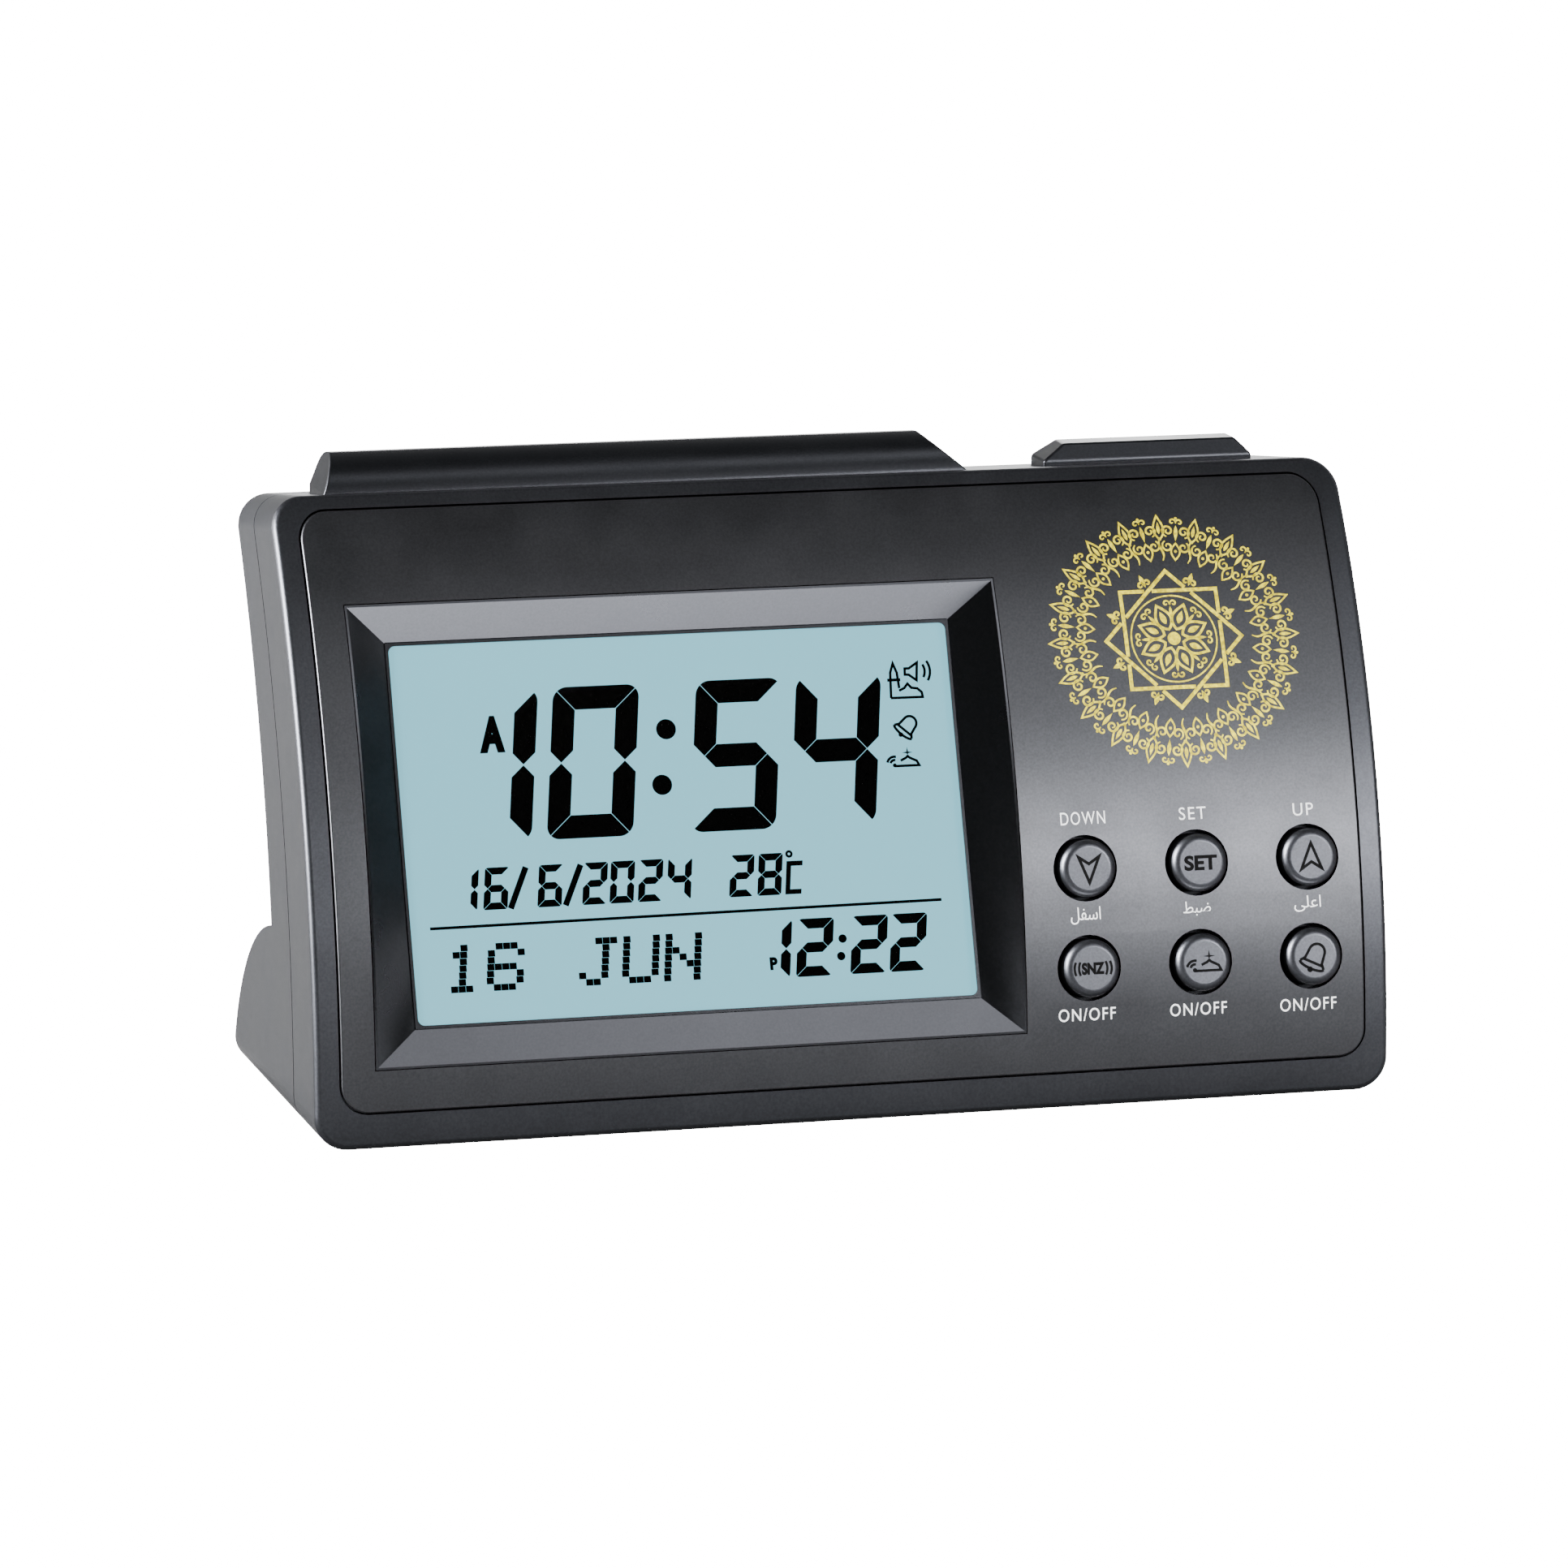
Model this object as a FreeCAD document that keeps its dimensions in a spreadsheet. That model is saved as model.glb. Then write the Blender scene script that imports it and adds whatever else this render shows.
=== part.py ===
import FreeCAD, Part
import math
import os
import re
from collections import namedtuple

import Sketcher
from FreeCAD import Placement, Rotation, Vector

# Digital prayer clock: a curved two-part housing on a full-width battery foot, with a sunk
# display, six round keys, a long light bar and a short button on top.
# X is the width, Y runs from the front (-) to the back (+), Z is up. The origin is on the
# table, under the middle of the housing.

# ---------------------------------------------------------------- driving dimensions (mm)
SIZES = [
    ("width", 180.0, "overall width"),
    ("depth", 62.0, "overall depth, front edge to the back of the foot"),
    ("body_height", 99.8, "front top edge above the underside of the housing"),
    ("foot_proud", 0.5, "how far the rubber feet stand out below the housing"),
    ("front_radius", 166.0, "radius of the curved front"),
    ("case_thickness", 31.0, "front face to rear face, above the foot"),
    ("seam_depth", 15.5, "front face to the joint between the shells"),
    ("seam_gap", 0.4, "visible groove between the shells"),
    ("top_slope", 8.5, "fall of the top face towards the back, degrees"),
    ("corner_radius", 5.5, "housing corners seen from the front"),
    ("front_round", 1.0, "rounding of the front border"),
    ("rear_round", 1.6, "rounding of the rear border"),
    ("wall", 2.4, "housing wall"),
    ("foot_radius", 37.8, "radius of the curved back of the foot"),
    ("foot_drop", 7.1, "centre of that curve below the underside"),
    ("lip_thickness", 1.0, "locating lip of the rear shell"),
    ("lip_height", 1.6, "how far the lip enters the front shell"),
    ("fit_gap", 0.15, "gap between pieces that fit into each other"),
    ("move_gap", 0.3, "gap round pieces that move"),
    ("overcut", 1.0, "how far cutting tools pass the surface they cut"),
    ("deep_cut", 40.0, "reach of cutting tools that pass the whole front wall"),
    ("fascia_side", 4.27, "fascia edge to housing side"),
    ("fascia_low", 6.02, "fascia bottom above the underside"),
    ("fascia_from_top", 2.36, "fascia top below the front top edge"),
    ("fascia_corner", 4.5, "fascia corner radius"),
    ("fascia_sink", 1.2, "depth of the seat of the fascia"),
    ("fascia_proud", 0.4, "fascia surface above the housing surface"),
    ("fascia_gap", 0.3, "groove round the fascia"),
    ("fascia_edge", 0.3, "rounding of the fascia border"),
    ("glue_gap", 0.05, "thickness of an adhesive film"),
    ("screen_from_left", 10.22, "left edge of the bevel from the left side"),
    ("screen_from_right", 62.55, "right edge of the bevel from the right side"),
    ("screen_low", 13.26, "lower edge of the bevel above the underside"),
    ("screen_from_top", 16.38, "upper edge of the bevel below the front top edge"),
    ("bevel_width", 6.81, "width of the bevel at left and right"),
    ("bevel_low", 5.39, "height of the bevel under the display"),
    ("bevel_high", 6.64, "height of the bevel above the display"),
    ("screen_tilt", 20.27, "lean of the display plane, degrees"),
    ("screen_setback", -4.01, "display plane at underside height, behind the front edge"),
    ("bezel_rim", 0.35, "flat rim round the bevel"),
    ("bezel_back", 3.0, "depth of the bezel behind the display plane"),
    ("display_margin", 2.3, "hidden edge of the display round the visible area"),
    ("window_thickness", 1.2, "clear window"),
    ("lcd_thickness", 2.6, "display glass with polarisers"),
    ("guide_thickness", 3.0, "light guide behind the display"),
    ("guide_cut", 5.0, "light guide ends above the rubber connector"),
    ("zebra_thickness", 2.2, "rubber connector"),
    ("zebra_inset", 4.0, "connector ends, inside the visible width"),
    ("led_width", 2.0, "side of the backlight lamp"),
    ("led_length", 4.0, "length of the backlight lamp"),
    ("holder_wall", 2.0, "wall of the display holder"),
    ("board_thickness", 1.6, "all circuit boards"),
    ("board_standoff", 8.0, "main board front behind the display plane"),
    ("board_from_left", 11.0, "left edge of the main board from the left side"),
    ("board_from_right", 56.8, "right edge of the main board from the right side"),
    ("ear_from_left", 3.7, "left end of the screw ears from the left side"),
    ("ear_half", 4.0, "half height of an ear"),
    ("ear_inset", 16.5, "left board screws from the upper and lower edge of the board"),
    ("ear_screw_from_left", 6.8, "left board screws from the left side"),
    ("side_screw_from_right", 59.3, "right board screws from the right side"),
    ("side_screw_inset", 5.3, "upper right board screw from the edge of the board"),
    ("boss_radius", 2.6, "screw bosses for the boards"),
    ("chip_side", 15.0, "main chip"),
    ("chip_height", 1.5, "main chip"),
    ("crystal_radius", 1.5, "quartz crystal can"),
    ("crystal_length", 8.0, "quartz crystal can"),
    ("sensor_radius", 1.4, "temperature sensor"),
    ("sensor_height", 3.0, "temperature sensor"),
    ("key_from_right", 13.4, "last column of keys from the right side"),
    ("key_pitch", 19.0, "distance of the columns"),
    ("key_low", 22.7, "lower row above the underside"),
    ("key_high", 38.9, "upper row above the underside"),
    ("key_hole_radius", 5.4, "holes for the keys"),
    ("key_radius", 4.75, "key caps"),
    ("key_proud", 2.3, "key caps above the housing surface"),
    ("key_crown", 1.3, "rounding of the key caps"),
    ("key_flange_radius", 5.9, "flange that keeps a key in the housing"),
    ("key_flange", 1.0, "flange thickness"),
    ("key_stem", 1.2, "stem between flange and switch"),
    ("key_stem_radius", 2.0, "stem radius"),
    ("key_travel", 0.5, "travel of a key"),
    ("switch_side", 6.0, "push switch body"),
    ("switch_height", 3.5, "push switch body"),
    ("plunger_radius", 1.7, "switch plunger"),
    ("plunger_proud", 1.2, "plunger above the switch body"),
    ("plunger_sunk", 1.3, "plunger inside the switch body"),
    ("running_gap", 0.05, "plunger in its bore, on the radius"),
    ("key_board_margin", 4.0, "key board past the middle of the outer columns"),
    ("key_board_half", 14.0, "half height of the key board"),
    ("bar_from_left", 9.3, "foot of the light bar from the left side"),
    ("bar_from_right", 63.0, "foot of the light bar from the right side"),
    ("bar_slant_left", 2.3, "slant of the left end of the bar"),
    ("bar_slant_right", 7.0, "slant of the right end of the bar"),
    ("bar_rise", 5.7, "light bar above the front top edge"),
    ("bar_rim", 0.55, "housing rim in front of the light bar"),
    ("bar_depth", 11.0, "light bar, front to back"),
    ("bar_face", 6.3, "depth of the rounded front of the bar"),
    ("bar_bow", 10.0, "radius of the rounded front of the bar"),
    ("bar_back_drop", 2.5, "height of the rounded back of the bar"),
    ("bar_back_run", 1.8, "depth of the rounded back of the bar"),
    ("bar_back_bow", 2.4, "radius of the rounded back of the bar"),
    ("bar_crown", 0.4, "fall of the top of the bar"),
    ("flange_out", 0.8, "flange of the top buttons, sideways"),
    ("flange_thickness", 1.1, "flange of the top buttons"),
    ("top_travel", 0.8, "travel of the top buttons"),
    ("button_from_right", 13.0, "foot of the short button from the right side"),
    ("button_width", 36.0, "short button at its foot"),
    ("button_slant_left", 3.8, "slant of the left end"),
    ("button_slant_right", 2.6, "slant of the right end"),
    ("button_slant_deep", 1.3, "slant of the front and back"),
    ("button_setback", 4.0, "housing edge to short button"),
    ("button_depth", 7.2, "short button, front to back"),
    ("button_rise", 2.9, "short button above the front top edge"),
    ("button_hip", 2.6, "height of the slanted part"),
    ("top_board_drop", 16.2, "underside of the top board below the front top edge"),
    ("top_board_setback", 2.05, "top board behind the front top edge"),
    ("top_board_depth", 9.0, "top board, front to back"),
    ("top_board_from_left", 3.1, "left end of the top board from the left side"),
    ("top_board_from_right", 5.5, "right end of the top board from the right side"),
    ("bar_switch_inset", 18.0, "switches of the bar from its ends"),
    ("top_screw_inset", 2.5, "top board screws from its ends"),
    ("screw_radius", 1.0, "board screws"),
    ("screw_length", 6.5, "board screws under the head"),
    ("screw_head_radius", 1.9, "board screws"),
    ("screw_head", 1.3, "board screws"),
    ("case_screw_from_side", 6.7, "case screws from the sides"),
    ("case_screw_low", 12.0, "lower case screws above the underside"),
    ("case_screw_from_top", 23.8, "upper case screws below the front top edge"),
    ("case_screw_radius", 1.3, "case screws"),
    ("case_screw_length", 12.0, "case screws under the head"),
    ("case_head_radius", 2.1, "case screw heads"),
    ("case_head", 1.8, "case screw heads"),
    ("case_boss_radius", 2.9, "case screw bosses"),
    ("case_seat", 5.0, "case screw head behind the joint"),
    ("cross_width", 0.5, "cross recess of the screws"),
    ("cross_depth", 0.7, "cross recess of the screws"),
    ("cross_margin", 0.7, "end of the cross recess to the edge of the head"),
    ("bay_wall", 1.6, "walls of the battery bay"),
    ("bay_over_door", 0.8, "inner top of the bay above the door"),
    ("cell_gap", 0.7, "upper cell to the inner front of the bay"),
    ("cell_radius", 7.15, "AA cell"),
    ("cell_length", 49.5, "AA cell without its button"),
    ("cell_button", 1.0, "AA cell button"),
    ("cell_button_radius", 2.7, "AA cell button"),
    ("cell_circle", 27.7, "cell centres from the centre of the foot curve"),
    ("cell_low_angle", 37.4, "angle of the lower cell on that circle, degrees"),
    ("cell_high_angle", 69.3, "angle of the upper cell, degrees"),
    ("contact_thickness", 0.4, "contact plates"),
    ("contact_side", 10.0, "contact plates"),
    ("contact_dimple", 0.6, "raised dot of a contact"),
    ("spring_radius", 4.0, "contact spring, wide end"),
    ("spring_tip", 2.4, "contact spring, narrow end"),
    ("spring_length", 5.6, "contact spring with a cell in place"),
    ("door_thickness", 2.0, "battery door"),
    ("door_lap", 0.65, "battery door past the ends of the bay"),
    ("door_low_angle", 20.0, "lower edge of the door on the foot curve, degrees"),
    ("door_high_angle", 66.0, "upper edge of the door, degrees"),
    ("door_gap_angle", 0.5, "gap at the ends of the curve, degrees"),
    ("door_seat_angle", 0.9, "seat of the door at the ends of the curve, degrees"),
    ("tab_width", 8.0, "hinge tabs of the door"),
    ("tab_place", 15.0, "hinge tabs from the middle"),
    ("tab_thickness", 1.2, "hinge tabs"),
    ("tab_angle", 3.0, "hinge tabs past the door edge, degrees"),
    ("grip_half", 7.0, "half length of the finger rib of the door"),
    ("grip_high", 1.0, "height of the finger rib"),
    ("grip_low_angle", 7.0, "middle of the rib below the door's upper edge, degrees"),
    ("grip_half_angle", 1.0, "half the angle over which the rib runs, degrees"),
    ("speaker_from_top", 38.8, "loudspeaker below the front top edge"),
    ("speaker_radius", 20.0, "loudspeaker rim"),
    ("speaker_rim", 1.2, "loudspeaker rim thickness"),
    ("speaker_seat", 1.3, "seat ring above the inside of the wall"),
    ("seat_width", 2.5, "seat ring width"),
    ("basket_depth", 7.0, "loudspeaker basket"),
    ("basket_wall", 0.8, "loudspeaker basket"),
    ("basket_end_radius", 13.0, "narrow end of the basket"),
    ("magnet_radius", 10.5, "loudspeaker magnet"),
    ("magnet_depth", 6.0, "loudspeaker magnet"),
    ("cone_depth", 4.5, "loudspeaker cone"),
    ("cone_wall", 0.5, "loudspeaker cone"),
    ("cone_tip", 6.0, "inner radius of the cone"),
    ("grille_hole", 1.1, "sound hole radius"),
    ("grille_pitch", 4.6, "sound hole distance"),
    ("pad_radius", 4.5, "rubber feet"),
    ("pad_thickness", 1.3, "rubber feet"),
    ("pad_from_side", 13.0, "rubber feet from the sides"),
    ("pad_from_edge", 9.0, "rubber feet from the front and the back"),
    ("wire_radius", 0.6, "insulated wires"),
    ("cable_radius", 1.0, "sleeved cables between the boards"),
    ("wire_bend", 1.2, "unit of the wire routes"),
]
GRILLE_RINGS = 3
TINY = 1e-4

doc = FreeCAD.newDocument("prayer_clock")
sheet = doc.addObject("Spreadsheet::Sheet", "Sizes")
for row, (alias, size, meaning) in enumerate(SIZES, start=1):
    sheet.set(f"A{row}", alias)
    sheet.set(f"B{row}", str(size))
    sheet.set(f"C{row}", meaning)
    sheet.setAlias(f"B{row}", alias)
doc.recompute()
ALIASES = {alias for alias, size, meaning in SIZES}


# ---------------------------------------------------------------- formulas
def ex(formula):
    """Write a formula with the sheet's name before each alias."""
    return re.sub(r"[A-Za-z_]\w*", lambda m: f"Sizes.{m[0]}" if m[0] in ALIASES else m[0], formula)


def number(formula):
    """Work a formula out now."""
    found = sheet.evalExpression(ex(formula))
    return float(getattr(found, "Value", found))


def front_y(height):
    """Y of the housing front at a height above the underside."""
    return f"({FRONT_CENTRE} - sqrt(front_radius ^ 2 - ({height}) ^ 2))"


def top_z(y):
    """Z of the housing's top face at y."""
    return f"(foot_proud + body_height - (({y}) - {FRONT_TOP_Y}) * tan(top_slope))"


def on_foot(radius, angle):
    """Point at a radius and an angle about the centre of the foot curve, as (y, z)."""
    y = f"({FOOT_Y} + ({radius}) * cos({angle}))"
    z = f"({FOOT_Z} + ({radius}) * sin({angle}))"
    return y, z


def both(half):
    """From minus to plus a half size."""
    return f"-({half})", f"{half}"


FRONT = "(-depth / 2)"
FRONT_CENTRE = "(front_radius - depth / 2)"
REAR_CENTRE = f"({FRONT_CENTRE} + case_thickness)"
FRONT_TOP_Y = front_y("body_height")
FASCIA_BACK = "(front_radius - fascia_sink)"
FASCIA_FACE = "(front_radius + fascia_proud)"
FOOT_Y = "(depth / 2 - sqrt(foot_radius ^ 2 - foot_drop ^ 2))"
FOOT_Z = "(foot_proud - foot_drop)"
SCREEN_LEFT = "(screen_from_left - width / 2)"
SCREEN_RIGHT = "(width / 2 - screen_from_right)"
SCREEN_HIGH = "(body_height - screen_from_top)"
WINDOW_LEFT = f"({SCREEN_LEFT} + bevel_width)"
WINDOW_RIGHT = f"({SCREEN_RIGHT} - bevel_width)"
WINDOW_MID = f"((screen_low + bevel_low + {SCREEN_HIGH} - bevel_high) / 2)"
WINDOW_HALF = f"(({SCREEN_HIGH} - bevel_high - screen_low - bevel_low) / 2 / cos(screen_tilt))"
KEY_COLUMNS = [f"(width / 2 - key_from_right - {column} * key_pitch)" for column in (2, 1, 0)]
KEY_MID = "((key_low + key_high) / 2)"
KEY_LEAN = f"asin({KEY_MID} / front_radius)"
KEY_ROW = "((key_high - key_low) / 2)"
SPEAKER_X = KEY_COLUMNS[1]
SPEAKER_LEAN = "asin((body_height - speaker_from_top) / front_radius)"
WIDE = both("width")

# A frame has its own axes: u along X, v and w turned about X by the angle `turn`.
# LEVEL has w up. UPRIGHT has v up and w to the front. The others lean back like their faces.
Frame = namedtuple("Frame", "y z turn")
LEVEL = Frame("0", "0", "0")
UPRIGHT = Frame("0", "0", "90")
SCREEN = Frame(
    f"({FRONT} + screen_setback + {WINDOW_MID} * tan(screen_tilt))",
    f"(foot_proud + {WINDOW_MID})",
    "(90 - screen_tilt)",
)
KEYS = Frame(front_y(KEY_MID), f"(foot_proud + {KEY_MID})", f"(90 deg - {KEY_LEAN})")
SPEAKER = Frame(
    f"({FRONT_CENTRE} + case_thickness - (front_radius + wall) * cos({SPEAKER_LEAN}))",
    f"(foot_proud + (front_radius + wall) * sin({SPEAKER_LEAN}))",
    f"(90 deg - {SPEAKER_LEAN})",
)


# ---------------------------------------------------------------- building blocks
def bind(obj, **formulas):
    for prop, formula in formulas.items():
        obj.setExpression(prop, ex(formula))


def put(obj, frame, u, v, w):
    """Set the origin of obj at (u, v, w) of a frame, with the frame's turn."""
    obj.Placement = Placement(Vector(), Rotation(Vector(1, 0, 0), number(frame.turn)))
    if frame.turn != "0":
        obj.setExpression("Placement.Rotation.Angle", ex(frame.turn))
    spots = {
        "x": u,
        "y": f"{frame.y} + ({v}) * cos({frame.turn}) - ({w}) * sin({frame.turn})",
        "z": f"{frame.z} + ({v}) * sin({frame.turn}) + ({w}) * cos({frame.turn})",
    }
    for axis, formula in spots.items():
        obj.setExpression(f"Placement.Base.{axis}", ex(formula))


def span(ends):
    return f"({ends[1]}) - ({ends[0]})"


def block(name, frame, u, v, w):
    box = doc.addObject("Part::Box", name)
    bind(box, Length=span(u), Width=span(v), Height=span(w))
    put(box, frame, u[0], v[0], w[0])
    return box


def rod(name, frame, u, v, w, radius):
    """Cylinder along w."""
    cylinder = doc.addObject("Part::Cylinder", name)
    bind(cylinder, Radius=radius, Height=span(w))
    put(cylinder, frame, u, v, w[0])
    return cylinder


def taper(name, frame, u, v, w, radii):
    """Cone along w, with its two radii."""
    cone = doc.addObject("Part::Cone", name)
    bind(cone, Radius1=radii[0], Radius2=radii[1], Height=span(w))
    put(cone, frame, u, v, w[0])
    return cone


def post(name, x, z, y, radius):
    """Cylinder along Y."""
    return rod(name, UPRIGHT, x, z, (f"-({y[1]})", f"-({y[0]})"), radius)


def axle(name, x, y, z, radius, kind="Part::Cylinder"):
    """Cylinder along X. A cone takes a pair of radii."""
    turned = doc.addObject(kind, name)
    if kind == "Part::Cone":
        bind(turned, Radius1=radius[0], Radius2=radius[1], Height=span(x))
    else:
        bind(turned, Radius=radius, Height=span(x))
    turned.Placement = Placement(Vector(), Rotation(Vector(0, 1, 0), 90))
    for axis, formula in (("x", x[0]), ("y", y), ("z", z)):
        turned.setExpression(f"Placement.Base.{axis}", ex(formula))
    return turned


def fuse(name, *shapes):
    joined = doc.addObject("Part::MultiFuse", name)
    joined.Shapes = list(shapes)
    joined.Refine = True
    return joined


def cut(name, base, *tools):
    removed = doc.addObject("Part::Cut", name)
    removed.Base = base
    removed.Tool = tools[0] if len(tools) == 1 else fuse(name + "_tools", *tools)
    removed.Refine = True
    return removed


def common(name, first, second):
    shared = doc.addObject("Part::Common", name)
    shared.Base = first
    shared.Tool = second
    shared.Refine = True
    return shared


def group(name, shapes):
    """Several separate solids in one node."""
    compound = doc.addObject("Part::Compound", name)
    compound.Links = shapes
    return compound


def rounded(name, base, radius, chosen):
    """Round the chosen edges of a boolean's result."""
    doc.recompute()
    size = number(radius)
    fillet = doc.addObject("Part::Fillet", name)
    fillet.Base = base
    numbered = enumerate(base.Shape.Edges, start=1)
    fillet.Edges = [(index, size, size) for index, edge in numbered if chosen(edge)]
    return fillet


def draw(sketch, outline):
    """Draw a closed outline and pin every corner to its formulas.

    A corner is (across, up) when a straight line follows it, or (across, up, radius, side) when
    an arc does; side is 1 if the arc's centre lies left of the way to the next corner, else -1.
    """
    corners = [Vector(number(c[0]), number(c[1]), 0) for c in outline]
    ends = []
    for index, corner in enumerate(outline):
        start = corners[index]
        stop = corners[(index + 1) % len(corners)]
        if len(corner) == 2:
            geometry = sketch.addGeometry(Part.LineSegment(start, stop))
            ends.append((geometry, 1, 2))
            continue
        radius = number(corner[2])
        side = corner[3]
        way = stop - start
        left = Vector(-way.y, way.x, 0).normalize()
        height = math.sqrt(radius ** 2 - (way.Length / 2) ** 2)
        centre = (start + stop) / 2 + left * (side * height)
        first, last = (start, stop) if side > 0 else (stop, start)
        angles = [math.atan2(p.y - centre.y, p.x - centre.x) for p in (first, last)]
        arc = Part.ArcOfCircle(Part.Circle(centre, Vector(0, 0, 1), radius), *angles)
        geometry = sketch.addGeometry(arc)
        ends.append((geometry, 1, 2) if side > 0 else (geometry, 2, 1))
        pin = sketch.addConstraint(Sketcher.Constraint("Radius", geometry, radius))
        sketch.setExpression(f"Constraints[{pin}]", ex(corner[2]))
    for index, (geometry, start, stop) in enumerate(ends):
        following = ends[(index + 1) % len(ends)]
        sketch.addConstraint(
            Sketcher.Constraint("Coincident", geometry, stop, following[0], following[1]))
        for kind, formula in zip(("DistanceX", "DistanceY"), outline[index]):
            pin = sketch.addConstraint(
                Sketcher.Constraint(kind, -1, 1, geometry, start, number(formula)))
            sketch.setExpression(f"Constraints[{pin}]", ex(formula))


def sketched(name, role, outline, length):
    """Body with a sketch on one of its origin planes, padded along that plane's normal."""
    body = doc.addObject("PartDesign::Body", name)
    plane = next(item for item in body.Origin.OriginFeatures if item.Role == role)
    sketch = body.newObject("Sketcher::SketchObject", name + "_sketch")
    sketch.AttachmentSupport = [(plane, "")]
    sketch.MapMode = "FlatFace"
    draw(sketch, outline)
    pad = body.newObject("PartDesign::Pad", name + "_pad")
    pad.Profile = sketch
    pad.setExpression("Length", ex(length))
    return body


def profile(name, outline, x):
    """Solid with the same (y, z) outline all along X."""
    body = sketched(name, "YZ_Plane", outline, span(x))
    body.setExpression("Placement.Base.x", ex(x[0]))
    return body


def plate(name, frame, outline, w):
    """Solid with a (u, v) outline in a frame, from one w to another."""
    body = sketched(name, "XY_Plane", outline, span(w))
    put(body, frame, "0", "0", w[0])
    return body


def rectangle(u, v):
    return [(u[0], v[0]), (u[1], v[0]), (u[1], v[1]), (u[0], v[1])]


def soften(body, radius, chosen):
    """Round the chosen edges of a body."""
    doc.recompute()
    base = body.Tip
    fillet = body.newObject("PartDesign::Fillet", body.Name + "_round")
    numbered = enumerate(base.Shape.Edges, start=1)
    fillet.Base = (base, [f"Edge{index}" for index, edge in numbered if chosen(edge)])
    fillet.setExpression("Radius", ex(radius))
    return body


def runs_along(edge, axis):
    """Whether a straight edge runs along an axis."""
    if not isinstance(edge.Curve, Part.Line):
        return False
    return edge.Curve.Direction.cross(axis).Length < TINY


def rounded_plate(name, frame, u, v, w, radius):
    """Plate with a rectangular outline and round corners."""
    body = plate(name, frame, rectangle(u, v), w)
    return soften(body, radius, lambda edge: runs_along(edge, Vector(0, 0, 1)))


# ---------------------------------------------------------------- housing
def runs_back(edge):
    """Whether an edge at the side of a housing block runs from front to back."""
    first, last = (vertex.Point for vertex in edge.Vertexes)
    return abs(first.x - last.x) < TINY and abs(first.y - last.y) > abs(first.z - last.z)


def is_low(edge):
    return edge.CenterOfMass.z < number("foot_proud + corner_radius")


def on_arc(edge, centre, radius="front_radius"):
    """Whether an edge lies on a cylinder along X about a centre at underside height."""
    points = [edge.valueAt(edge.getParameterByLength(edge.Length * part)) for part in (0, 0.5, 1)]
    middle = Vector(0, number(centre), number("foot_proud"))
    return all(
        abs(math.hypot(p.y - middle.y, p.z - middle.z) - number(radius)) < TINY for p in points)


def case_solid(name, inset):
    """The whole housing as one solid, with every face moved in by the inset."""
    x = both(f"(width / 2 - ({inset}))")
    low = f"foot_proud + ({inset})"
    drop = f"({inset}) / cos(top_slope)"
    front = f"({FRONT} - overcut)"
    back = "(depth / 2)"
    corner = f"corner_radius - ({inset})"
    slab = profile(name + "_slab", [
        (front, low),
        (back, low),
        (back, f"{top_z(back)} - {drop}"),
        (front, f"{top_z(front)} - {drop}"),
    ], x)
    soften(slab, corner, runs_back)
    face = axle(name + "_face", x, FRONT_CENTRE, "foot_proud", f"front_radius - ({inset})")
    rear = axle(name + "_rear", x, REAR_CENTRE, "foot_proud", f"front_radius + ({inset})")
    upper = cut(name + "_upper", common(name + "_curved", slab, face), rear)
    toe = profile(
        name + "_toe", rectangle((FOOT_Y, back), (low, "foot_proud + foot_radius")), x)
    soften(toe, corner, lambda edge: runs_back(edge) and is_low(edge))
    curve = axle(name + "_curve", x, FOOT_Y, FOOT_Z, f"foot_radius - ({inset})")
    return fuse(name, upper, common(name + "_foot", toe, curve))


def behind_seam(name, shift):
    """Everything behind the joint between the shells, moved back by a shift."""
    centre = f"{FRONT_CENTRE} + seam_depth + ({shift})"
    return axle(name, WIDE, centre, "foot_proud", "front_radius")


def housing():
    """Outer body with rounded borders, and the walls that are left round its cavity."""
    block_shape = case_solid("case_outer", "0")
    front = rounded(
        "case_front_round", block_shape, "front_round", lambda edge: on_arc(edge, FRONT_CENTRE))
    body = rounded("case_rear_round", front, "rear_round", is_upper_rear)
    return body, case_solid("case_cavity", "wall")


def is_upper_rear(edge):
    """Whether an edge borders the rear face above the foot."""
    centre = edge.CenterOfMass
    return on_arc(edge, REAR_CENTRE) and centre.z > number("foot_proud + foot_radius")


# ---------------------------------------------------------------- openings of the front
def fascia_outline(name, grow):
    """Block through the front with the fascia's outline, larger all round by grow."""
    half = f"width / 2 - fascia_side + ({grow})"
    high = f"foot_proud + body_height - fascia_from_top + ({grow})"
    v = (f"foot_proud + fascia_low - ({grow})", high)
    w = (f"-({FRONT_TOP_Y} + overcut + wall)", f"-({FRONT} - overcut)")
    return rounded_plate(name, UPRIGHT, both(half), v, w, f"fascia_corner + ({grow})")


def front_cylinder(name, radius):
    return axle(name, WIDE, FRONT_CENTRE, "foot_proud", radius)


def screen_hole(name, gap):
    """Block through the front with the outline of the bezel, larger all round by a gap."""
    edge = f"bezel_rim + ({gap})"
    u = (f"{SCREEN_LEFT} - ({edge})", f"{SCREEN_RIGHT} + ({edge})")
    v = (f"foot_proud + screen_low - ({edge})", f"foot_proud + {SCREEN_HIGH} + ({edge})")
    return block(name, UPRIGHT, u, v, (f"-({back_of_screen()})", f"-({FRONT} - overcut)"))


def back_of_screen():
    """Y behind the whole bezel."""
    return f"{FRONT} + screen_setback + {SCREEN_HIGH} * tan(screen_tilt) + 2 * bezel_back"


def key_places():
    """Name, u and v of the six keys."""
    names = (("down", "set", "up"), ("snooze", "azan", "alarm"))
    for row, v in zip(names, (KEY_ROW, f"-{KEY_ROW}")):
        for name, u in zip(row, KEY_COLUMNS):
            yield name, u, v


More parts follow.
